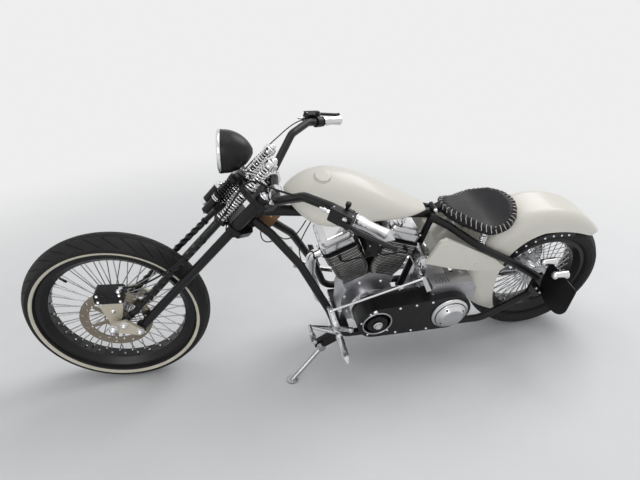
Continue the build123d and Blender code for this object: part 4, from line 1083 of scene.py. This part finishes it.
def build_crankcase():
    """Screws round the timing cover and the case, the cover's badge, and the drain plugs."""
    screws = copies(button_screw(4.2, 4), [(x, TIMING_FACE, z) for x, z in TIMING_SCREWS], RIGHT)
    screws += ring_of(button_screw(5, 4), 9, 112, -66, RIGHT, CRANK, 0.2)
    screws += ring_of(hex_bolt(5.5, 6), 7, 112, 66, LEFT, CRANK, 0.25)
    add_piece("crankcase_screws", screws, CHROME)
    badge = turned(
        [(34, -0.5), (34, 1.5), (32, 3), (27, 3), (26, 1.8), (12, 1.8), (11, 4), (0, 5)], 48
    )
    add_piece("timing_cover", [at(badge, (868, TIMING_FACE, 340), RIGHT)], POLISHED)
    drains = copies(hex_bolt(9, 8), [(830, 0, 212.5), (900, 0, 212.5)], DOWN)
    add_piece("drain_plugs", drains, STEEL)
    studs = ring_of(button_screw(4.6, 4), 8, 40, 66, LEFT, (560, 312), 0.3)
    add_piece("gearbox_screws", studs, CHROME)


def build_air_cleaner():
    """The pleated element, its cover plate, its back plate and the cover's screws."""
    pleats = [polar(76.0 if k % 2 else 73.5, angle) for k, angle in enumerate(around(144))]
    element = skin([[(x, y, height) for x, y in pleats] for height in (0, 34)])
    cover = turned(
        [(70, 0), (77, 0.4), (78, 2), (78, 5), (76, 7), (60, 9.4), (30, 11), (0, 11.4)], 72
    )
    back = turned([(70, 0), (77, 0), (77.6, 2), (77, 4), (70, 4)], 72)
    for name, shape, y, look, crease in (
        ("air_element", element, -117, WRINKLE, 10),
        ("air_cover", cover, -152, POLISHED, 32),
        ("air_back", back, -112, CHROME, 32),
    ):
        add_piece(name, [at(shape, (AIR[0], y, AIR[1]), RIGHT)], look, crease=crease)
    add_piece("air_screws", ring_of(button_screw(4, 3), 3, 46, -162, RIGHT, AIR, 0.5), CHROME)


def build_exhaust():
    """The mufflers' clamps, cones, tips and bolts, and the flanges at the ports."""
    clamp = turned([(36, 0), (37.6, 0.5), (37.6, 12), (36, 12.5)], 48)
    cone = turned([(21.2, 42), (24, 36), (34, 10), (36.3, 2), (36.3, -2)], 48)
    tip = turned([(26, 4), (35, 0.5), (36.8, -1), (37.4, -5), (36.4, -8)], 48)
    flange = turned([(20, 0), (31, 0), (31.6, 1), (31.6, 6), (30, 7), (21.5, 7.4)], 40)
    rings = []
    for start, z in ((640, 262), (480, 345)):
        for shape, x, rise, way in (
            (clamp, start - 16, 0, AHEAD),
            (clamp, 150, 0, AHEAD),
            (cone, start, 0, AHEAD),
            (tip, 130, 0, BACK),
            (hex_bolt(4.5, 6), start - 10, -37, DOWN),
        ):
            rings.append(at(shape, (x, EXHAUST_SIDE, z + rise), way))
    for side, spot, way, nuts in EXHAUST_PORTS:
        shapes = [at(flange, spot, way), *copies(acorn_nut(5, 11), nuts, way)]
        rings += [moved(shape, cylinder_place(side)) for shape in shapes]
    add_piece("exhaust_rings", rings, CHROME)


# Primary drive
CLUTCH = (534.0, 344.0)
GUARD_FACE = 218.0


def guard_edge(y, shares, radii):
    """Points by both edges of the belt guard, at shares of the way from crank to clutch."""
    spots = []
    for share, up in product(shares, (-1, 1)):
        x = CRANK[0] + share * (CLUTCH[0] - CRANK[0])
        z = CRANK[1] + share * (CLUTCH[1] - CRANK[1])
        spots.append((x, y, z + up * (radii[0] + share * (radii[1] - radii[0]))))
    return spots


def build_primary():
    """The screws of the belt guard and of the motor plate, and the front pulley's fittings."""
    screws = copies(dome_screw(6.4, 5), guard_edge(GUARD_FACE, (0.28, 0.5, 0.72), (71, 88)), LEFT)
    for angle in (-60, 60, -135, 10):
        x, z = polar(73.5, math.radians(angle))
        screws.append(at(dome_screw(5.4, 4.5), (CRANK[0] + x, GUARD_FACE, CRANK[1] + z), LEFT))
    screws.append(at(dome_screw(11, 9), (884, GUARD_FACE, 408.5), LEFT))
    add_piece("guard_screws", screws, CHROME)
    spots = guard_edge(132, (0.1, 0.35, 0.62, 0.9), (90.5, 104))
    screws = copies(button_screw(3.4, 3), spots, LEFT)
    corners = ((616, 436), (616, 478), (590, 484), (452, 482), (424, 446), (424, 384))
    screws += copies(button_screw(4, 3), [(x, 184, z) for x, z in corners], LEFT)
    add_piece("plate_screws", screws, STEEL)
    opening = turned([(60.6, -4), (60.6, 2), (62, 3.6), (65.5, 3.6), (67, 2), (67, -0.5)], 72)
    add_piece("pulley_ring", [at(opening, (CRANK[0], GUARD_FACE, CRANK[1]), LEFT)], CAST)
    add_piece("pulley_bolt", [at(hex_bolt(14, 11), (CRANK[0], 229.5, CRANK[1]), LEFT)], CHROME)
    # The pulley's screws are black as painted shade, lost in the dark of the opening
    add_piece("pulley_screws_painted_shade", ring_of(button_screw(4.4, 3.6), 6, 33, 224, LEFT, CRANK), BLACK)


def build_clutch_cover():
    """The stepped cover over the clutch: a flat flange, a groove, a cone and a flat middle, with a
    dark ring painted as shade in the groove and dark discs painted as shade in its holes.
    """
    cover = [
        (84.8, -3), (85.2, 3), (84, 6.6), (80, 9.6), (73, 13.2), (71.5, 12.4), (70.5, 13.4),
        (70.0, 16.5), (67.5, 19), (64, 20.4), (62, 21.2), (50, 33.2), (48.5, 34.8), (46.5, 35.6),
        (12, 37.6), (0, 37.8),
    ]
    middle = [(45.6, 35.2), (45.4, 36.4), (44.6, 37.0), (12, 38.2), (0, 38.3)]
    groove = [(73.8, 12.2), (73.4, 13.7), (70.8, 13.9), (70.4, 12.6)]
    place = aimed((CLUTCH[0], GUARD_FACE, CLUTCH[1]), LEFT)
    for name, profile, count, look, crease in (
        ("clutch_cover", cover, 96, POLISHED, 20),
        ("clutch_middle", middle, 72, CAST, 32),
        # The groove's dark ring is painted shade
        ("clutch_groove_shade", groove, 96, PAINTED_HOLE_SHADE, 32),
    ):
        add_piece(name, [moved(turned(profile, count), place)], look, crease=crease)
    # Dark discs painted as the shade inside the cover's holes
    clutch_hole_shade = turned([(4.8, -0.6), (4.8, 0.3), (4.2, 0.6), (0, 0.6)], 20)
    hole_shade_copies = []
    for k in range(4):
        out = Vector((*polar(1, math.radians(90 * k + 35)), 0))
        hole_shade_copies.append(moved(clutch_hole_shade, place, aimed(56 * out + Vector((0, 0, 27.3)), out + Vector(UP))))
    add_piece("clutch_hole_shades", hole_shade_copies, PAINTED_HOLE_SHADE)


# Controls and frame fittings
PEG = (1034, 296)
TOE = (1160.8, 368)
FENDER_DOTS = ((212, 564), (176, 595), (136, 615), (94, 628), (54, 636), (13, 635), (-24, 634))
FENDER_SIDE = 105.0
STAY_THICK = 2.8
STARTER = (658, 565)
COIL = (884, 652)


def build_foot_controls():
    """Faceted pointed pegs, the toe piece's rings, and bolts on the side plates, with dark discs
    painted as the shade in the plates' holes.
    """
    facets = [(13.5, 2), (15.2, 12), (12.6, 34), (12.4, 52), (14.4, 86), (15.4, 104), (15.0, 108)]
    peg = turned([(9, 0), *faceted(facets), (0, 136)], 8)
    pegs = both_sides([at(peg, (PEG[0], 235, PEG[1]), LEFT)])
    add_piece("pegs", pegs, POLISHED, crease=12)
    ring = turned([(9, 0), (16.2, 0.5), (16.8, 2), (16.2, 3.6), (9, 4)], 30)
    fittings = copies(ring, [(PEG[0], y, PEG[1]) for y in (226, 231)], LEFT)
    knurl = turned([(8, 0), (10.4, 1), (10.8, 4), (10.8, 40), (10.2, 44), (0, 46)], 24)
    fittings.append(at(knurl, (TOE[0], 254, TOE[1]), LEFT))
    bolts = [(1040, 208, 440), (1150, 199, 343), (976, 199, 287)]
    fittings += copies(hex_bolt(6.5, 7), bolts, LEFT)
    add_piece("peg_fittings", both_sides(fittings), CHROME)
    # Dark discs painted as the shade inside the plates' holes
    plate_hole_shade = turned([(6, 0.2), (5.4, 0.5), (5, -0.6), (0, -0.6)], 24)
    hole_shade_copies = copies(plate_hole_shade, [(1100, 199.2, 326), (1012, 199.2, 299), (1124, 199.2, 334)], LEFT)
    add_piece("plate_hole_shades", both_sides(hole_shade_copies), PAINTED_HOLE_SHADE)
    band = turned([(11, 0), (11.3, 0.4), (11.3, 3), (11, 3.4)], 24)
    bands = copies(band, [(TOE[0], 262 + 7 * k, TOE[1]) for k in range(5)], LEFT)
    add_piece("toe_rubbers", both_sides(bands), BELT)


def build_fender_strip():
    """The black stay under the fender's lower edge, with its row of chrome screws."""
    path = [Vector(point) for point in ((232, 540), *FENDER_DOTS, (-58, 628))]
    sections = []
    for before, point, after in zip(path[:1] + path, path, path[1:] + path[-1:]):
        along = (after - before).normalized()
        across = Vector((-along.y, along.x))
        if across.y < 0:
            across = -across
        low, high = point - 11 * across, point + 15 * across
        corners = ((low, 0), (high, 0), (high, STAY_THICK), (low, STAY_THICK))
        sections.append([(edge.x, FENDER_SIDE + y, edge.y) for edge, y in corners])
    stay = skin(sections, "capped")
    add_piece("fender_stay", [moved(stay, MIRROR), stay], BLACK)
    dots = [(x, FENDER_SIDE + STAY_THICK, z - 3) for x, z in FENDER_DOTS]
    add_piece("fender_screws", both_sides(copies(dome_screw(5.6, 3.6), dots, LEFT)), CHROME)
    bosses = copies(button_screw(6.5, 4), [(340, 115.3, 589), (276, 115.3, 551)], LEFT)
    add_piece("fender_bolts", both_sides(bosses), CHROME)


def build_frame_fittings():
    """The axle's nuts, the neck's bolt and cups, and the screws of tank, starter and coil."""
    bright = []
    for side in (-1, 1):
        way = (0, side, 0)
        bright.append(at(hex_bolt(20, 16), (0, side * 140, REAR_RADIUS), way))
        spots = [(x, side * 140, z) for x, z in ((70, 420), (-16, 352), (78, 300))]
        bright += copies(button_screw(5, 4), spots, way)
    add_piece("axle_nuts", bright, CHROME)
    add_piece("gusset_bolt", both_sides([at(dome_screw(5, 4), (1292, 3, 796), LEFT)]), BRASS)
    cup = turned([(31, -4), (34, -3.6), (34.6, -2), (34.6, 4), (33.6, 5.4), (31, 5.8)], 48)
    along_neck = fork_point(0, 0, 1) - fork_point(0, 0, 0)
    cups = copies(cup, [fork_point(0, 0, height) for height in (668.56, 778.56)], along_neck)
    add_piece("neck_cups", cups, BLACK)
    straps = copies(button_screw(5, 4), [(500, 132, 647), (590, 132, 670), (420, 132, 540)], LEFT)
    add_piece("oil_tank_screws", both_sides(straps), CHROME)
    cap = turned([(26.4, 0), (27, 1), (27, 4), (24, 6), (8, 7), (0, 7)], 40)
    screws = ring_of(button_screw(4, 3.5), 4, 33, 112, LEFT, STARTER, 0.4)
    add_piece("starter_cap", [at(cap, (STARTER[0], 114, STARTER[1]), LEFT), *screws], CHROME)
    spots = [(COIL[0] + x, 98, COIL[1] + z) for x, z in product((-22, 22), (-24, 24))]
    add_piece("coil_cover_screws", copies(button_screw(4.4, 3.6), spots, LEFT), STEEL)


def build_tank_fittings():
    """The dome of the filler cap and the ring round it, level with the tank's top."""
    place = shift((1104, 31, 982)) @ Matrix.Rotation(math.radians(-15.8), 4, "X")
    cap = turned([(29.2, -4), (30, 1), (30, 3.4), (28.6, 5), (24, 6.2), (12, 7.4), (0, 7.8)], 64)
    add_piece("tank_cap_dome", [moved(cap, place)], CREAM)
    ring = turned([(30.5, -5), (31, 0.3), (32.4, 0.9), (33.6, 0.2), (34, -5)], 64)
    add_piece("tank_cap_ring", [moved(ring, place)], CREAM)


def build_tail():
    rim = turned([(15, -9), (17.6, -8.6), (18.2, -6), (18.2, 3), (17.2, 4)], 40)
    rims = copies(rim, [(60, y, 545) for y in (174, 260)], AHEAD)
    add_piece("tail_lamp_rims", rims, CHROME)
    bolts = copies(button_screw(5, 3.6), [(58.5, y, 508) for y in (186, 320)], BACK)
    bolts += copies(hex_bolt(5.5, 6), [(73.5, y, 366) for y in (160, 188)], AHEAD)
    add_piece("plate_bolts", bolts, CHROME)


# Seat, in millimetres: its edge from above, the height of the edge's middle, its centre and its
# pivot. The lengths from SEAT_VOXEL on are in metres.
SEAT_SIDE = (
    (584, 0), (572, 48), (540, 78), (500, 100), (460, 124), (420, 147), (365, 157), (310, 138),
    (265, 82), (243, 0),
)
SEAT_MIDDLE = ((640, 810), (540, 763), (460, 731), (390, 722), (320, 742), (200, 787))
SEAT_CENTRE = Vector((420, 0))
SEAT_PIVOT = (612, 772)
SEAT_VOXEL = 0.0055
SEAT_SHRINK = 0.0015
SEAT_PRESSURE = 4.0
SEAT_CAP = 0.007
LACES = 46
LACE_STEP = 4
LACE_TOP = 0.019
LACE_LOW = 0.009
CLEAR = 0.06


def smooth_loop(points, per_span):
    """A closed Catmull-Rom curve through points of the plane."""
    count = len(points)
    found = []
    for k in range(count):
        a, b, c, d = (Vector(points[(k + j) % count]) for j in (-1, 0, 1, 2))
        for t in (j / per_span for j in range(per_span)):
            square, cube = 2 * a - 5 * b + 4 * c - d, 3 * b - a - 3 * c + d
            found.append(0.5 * ((2 * b) + (c - a) * t + square * t**2 + cube * t**3))
    return found


def seat_middle(x):
    """Height of the middle of the seat's edge."""
    for (x1, z1), (x0, z0) in zip(SEAT_MIDDLE, SEAT_MIDDLE[1:]):
        if x0 <= x <= x1:
            return z0 + (z1 - z0) * (x - x0) / (x1 - x0)
    return SEAT_MIDDLE[0][1]


def seat_loop():
    """Evenly spaced points round the seat's edge, with the outward direction at each."""
    half = [Vector(point) for point in SEAT_SIDE]
    other = [Vector((point.x, -point.y)) for point in reversed(half[1:-1])]
    fine = smooth_loop([*half, *other], 24)
    lengths = [0.0]
    for a, b in zip(fine, fine[1:] + fine[:1]):
        lengths.append(lengths[-1] + (b - a).length)
    found = []
    for k in range(LACES * LACE_STEP):
        target = lengths[-1] * k / (LACES * LACE_STEP)
        index = max(j for j in range(len(fine)) if lengths[j] <= target)
        a, b = fine[index], fine[(index + 1) % len(fine)]
        span = max(lengths[index + 1] - lengths[index], 1e-6)
        point = a + (b - a) * (target - lengths[index]) / span
        along = (b - a).normalized()
        outward = Vector((along.y, -along.x))
        found.append((point, outward if outward.dot(point - SEAT_CENTRE) > 0 else -outward))
    return found


def shrunk_seat():
    """The CAD cushion as a new mesh, remeshed evenly and drawn in a little, so it can swell."""
    mesh = NODES["seat"].data.copy()
    mesh.name = "seat_cushion"
    cushion = new_object("seat_cushion", mesh)
    remesh = cushion.modifiers.new("remesh", "REMESH")
    remesh.mode = "VOXEL"
    remesh.voxel_size = SEAT_VOXEL
    apply_modifiers(cushion)
    work = bmesh.new()
    work.from_mesh(cushion.data)
    axes = {"use_axis_x": True, "use_axis_y": True, "use_axis_z": True}
    for _ in range(4):
        bmesh.ops.smooth_vert(work, verts=work.verts, factor=0.5, **axes)
    work.normal_update()
    for vertex in work.verts:
        vertex.co -= SEAT_SHRINK * vertex.normal
    work.to_mesh(cushion.data)
    work.free()
    return cushion


def inflate(cushion):
    """Swell the cushion with cloth pressure, no point further than the cap."""
    start = [vertex.co.copy() for vertex in cushion.data.vertices]
    cloth = cushion.modifiers.new("cloth", "CLOTH")
    cloth.settings.use_pressure = True
    cloth.settings.uniform_pressure_force = SEAT_PRESSURE
    cloth.settings.effector_weights.gravity = 0.0
    for number in range(1, 21):
        bpy.context.scene.frame_set(number)
    apply_modifiers(cushion)
    bpy.context.scene.frame_set(1)
    for vertex, origin in zip(cushion.data.vertices, start):
        step = vertex.co - origin
        if step.length > SEAT_CAP:
            vertex.co = origin + step * (SEAT_CAP / step.length)


def seat_edge_points(tree, point, outward):
    """Where a lace lies over the edge: on top, round the rim and below."""
    turn = MACHINE.to_3x3().normalized()
    up = (turn @ Vector(UP)).normalized()
    out = (turn @ Vector((outward.x, outward.y, 0))).normalized()
    centre = MACHINE @ Vector((point.x, point.y, seat_middle(point.x)))
    hit = tree.ray_cast(centre + 0.04 * out, -out, 0.09)[0]
    if hit is None:
        return None
    top = tree.ray_cast(hit - LACE_TOP * out + CLEAR * up, -up, 2 * CLEAR)[0]
    low = tree.ray_cast(hit - LACE_LOW * out - CLEAR * up, up, 2 * CLEAR)[0]
    if top is None or low is None:
        return None
    return top, hit, low, up, out


def seat_edge(tree):
    """The laces over the cushion's edge, each a wire, and the points of the welt round it."""
    laces = []
    welt = []
    loop = seat_loop()
    for k, (point, outward) in enumerate(loop):
        found = seat_edge_points(tree, point, outward)
        if found is None:
            continue
        top, hit, low, up, out = found
        welt.append(hit + 0.0004 * out)
        skew = seat_edge_points(tree, *loop[(k + LACE_STEP // 2) % len(loop)])
        if k % LACE_STEP or skew is None:
            continue
        shoulder = tree.ray_cast(hit - 0.004 * out + CLEAR * up, -up, 2 * CLEAR)[0] or hit
        path = [
            top - 0.001 * up,
            top + 0.0016 * up + 0.001 * out,
            shoulder + 0.0012 * up + 0.001 * out,
            (hit + skew[1]) / 2 + 0.0012 * out,
            skew[2] - 0.0012 * up,
        ]
        laces.append(wire(path, 0.0017, 6))
    return laces, welt


def build_seat():
    """The leather cushion with a rolled edge and the lacing round it, and its pivot."""
    cushion = shrunk_seat()
    inflate(cushion)
    smoother = cushion.modifiers.new("smooth", "SUBSURF")
    smoother.levels = 1
    smoother.render_levels = 1
    apply_modifiers(cushion)
    cushion.data.materials.clear()
    cushion.data.materials.append(LEATHER)
    cushion.data.shade_smooth()
    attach(cushion, "frame")
    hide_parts("seat")
    points = [vertex.co for vertex in cushion.data.vertices]
    tree = BVHTree.FromPolygons(points, [tuple(face.vertices) for face in cushion.data.polygons])
    laces, welt = seat_edge(tree)
    metres = Matrix.Identity(4)
    add_piece("seat_laces", laces, THREAD, place=metres)
    add_piece("seat_welt", [wire(welt, 0.0014, closed=True)], LEATHER, place=metres)
    bracket = moved(block(64, 34, 8, 2.5), shift((590, 0, 780)), Matrix.Rotation(0.42, 4, "Y"))
    pin = turned([(9, -26), (10, -25), (10, 25), (9, 26)], 24)
    pivot = at(pin, (SEAT_PIVOT[0], 0, SEAT_PIVOT[1]), LEFT)
    add_piece("seat_pivot", [bracket, pivot], BLACK)
    ends = []
    for side in (-1, 1):
        ends.append(at(hex_bolt(6.5, 6), (SEAT_PIVOT[0], side * 25, SEAT_PIVOT[1]), (0, side, 0)))
    add_piece("seat_pivot_bolts", ends, CHROME)


# Stage
PALE = 0.86
FLOOR_HALF = 30.0
FADE_FROM = 1.3
FADE_TO = 4.2


def maths(tree, operation, first, second):
    node = tree.nodes.new("ShaderNodeMath")
    node.operation = operation
    tree.links.new(first, node.inputs[0])
    tree.links.new(second, node.inputs[1])
    return node.outputs[0]


def mix_surface(tree, share, first, second, output):
    """Lead a mix of two shaders to the surface of the material's or the world's output."""
    mix = tree.nodes.new("ShaderNodeMixShader")
    tree.links.new(share, mix.inputs["Fac"])
    tree.links.new(first, mix.inputs[1])
    tree.links.new(second, mix.inputs[2])
    tree.links.new(mix.outputs[0], tree.nodes[output].inputs["Surface"])


def camera_share(tree):
    """1 for rays from the camera, off a mirror or through glass, which see the plain backdrop."""
    path = tree.nodes.new("ShaderNodeLightPath").outputs
    seen = maths(tree, "MAXIMUM", path["Is Camera Ray"], path["Is Glossy Ray"])
    return maths(tree, "MAXIMUM", seen, path["Is Transmission Ray"])


def floor_material():
    """A pale floor that keeps the shadow near the machine and fades into the backdrop."""
    made, tree, shader = new_material("floor_paint")
    noise = object_noise(tree, 3.0)
    ramp(tree, noise, 0.3, 0.7, (level(0.82), level(0.85)), shader.inputs["Base Color"])
    shader.inputs["Roughness"].default_value = 0.9
    glow = tree.nodes.new("ShaderNodeEmission")
    glow.inputs["Color"].default_value = (*level(PALE), 1)
    place = tree.nodes.new("ShaderNodeTexCoord")
    reach = tree.nodes.new("ShaderNodeVectorMath")
    reach.operation = "LENGTH"
    tree.links.new(place.outputs["Object"], reach.inputs[0])
    far = tree.nodes.new("ShaderNodeMapRange")
    far.interpolation_type = "SMOOTHSTEP"
    far.inputs["From Min"].default_value = FADE_FROM
    far.inputs["From Max"].default_value = FADE_TO
    tree.links.new(reach.outputs["Value"], far.inputs["Value"])
    share = maths(tree, "MULTIPLY", far.outputs["Result"], camera_share(tree))
    mix_surface(tree, share, shader.outputs[0], glow.outputs[0], "Material Output")
    return made


def build_stage():
    mesh = bpy.data.meshes.new("floor")
    signs = ((-1, -1), (1, -1), (1, 1), (-1, 1))
    corners = [(FLOOR_HALF * x, FLOOR_HALF * y, 0) for x, y in signs]
    mesh.from_pydata(corners, [], [(0, 1, 2, 3)])
    floor = new_object("floor", mesh)
    mesh.materials.append(floor_material())


def build_world():
    world = bpy.data.worlds.new("studio")
    bpy.context.scene.world = world
    world.use_nodes = True
    tree = world.node_tree
    plain = tree.nodes["Background"]
    seen = tree.nodes.new("ShaderNodeBackground")
    for node, colour, strength in ((plain, (0.88, 0.9, 0.93), 0.48), (seen, level(PALE), 1.0)):
        node.inputs["Color"].default_value = (*colour, 1)
        node.inputs["Strength"].default_value = strength
    mix_surface(tree, camera_share(tree), plain.outputs[0], seen.outputs[0], "World Output")


def add_lamp(name, place, target, size, power):
    data = bpy.data.lights.new(name, "AREA")
    data.shape = "RECTANGLE"
    data.size, data.size_y = size
    data.energy = power
    lamp = new_object(name, data)
    lamp.location = place
    lamp.rotation_euler = (Vector(target) - Vector(place)).to_track_quat("-Z", "Y").to_euler()


def build_lamps():
    add_lamp("key", (-3.0, -1.5, 4.2), (0, 0, 0.4), (3.0, 3.0), 92)
    add_lamp("front_fill", (2.5, 4.5, 2.8), (0, 0, 0.4), (3.0, 2.0), 60)
    add_lamp("top", (0.3, 0.3, 5.0), (0, 0, 0), (4.0, 3.0), 30)


def build_camera():
    data = bpy.data.cameras.new("photo_camera")
    data.sensor_width = SENSOR_MM
    data.sensor_fit = "HORIZONTAL"
    data.lens = SENSOR_MM * FOCAL_PX / IMAGE_WIDTH
    camera = new_object("photo_camera", data)
    camera.location = joint_vector("rear_wheel_spin", "pos_m") + CAMERA_FROM_HUB
    ahead = Vector((*polar(math.cos(CAMERA_PITCH), CAMERA_YAW), math.sin(CAMERA_PITCH)))
    camera.rotation_euler = ahead.to_track_quat("-Z", "Y").to_euler()
    bpy.context.scene.camera = camera


bpy.context.scene.view_settings.view_transform = "Standard"
build_camera()
build_stage()
build_world()
build_lamps()
dress_nodes()
build_tyres()
build_wheels()
build_rocker_nuts()
build_springs()
build_trees()
build_shock()
build_headlight()
build_grips()
build_masters()
build_risers()
build_caliper()
build_hoses()
build_leads()
build_fins()
build_rocker_boxes()
build_crankcase()
build_air_cleaner()
build_exhaust()
build_primary()
build_clutch_cover()
build_foot_controls()
build_fender_strip()
build_frame_fittings()
build_tank_fittings()
build_tail()
build_seat()
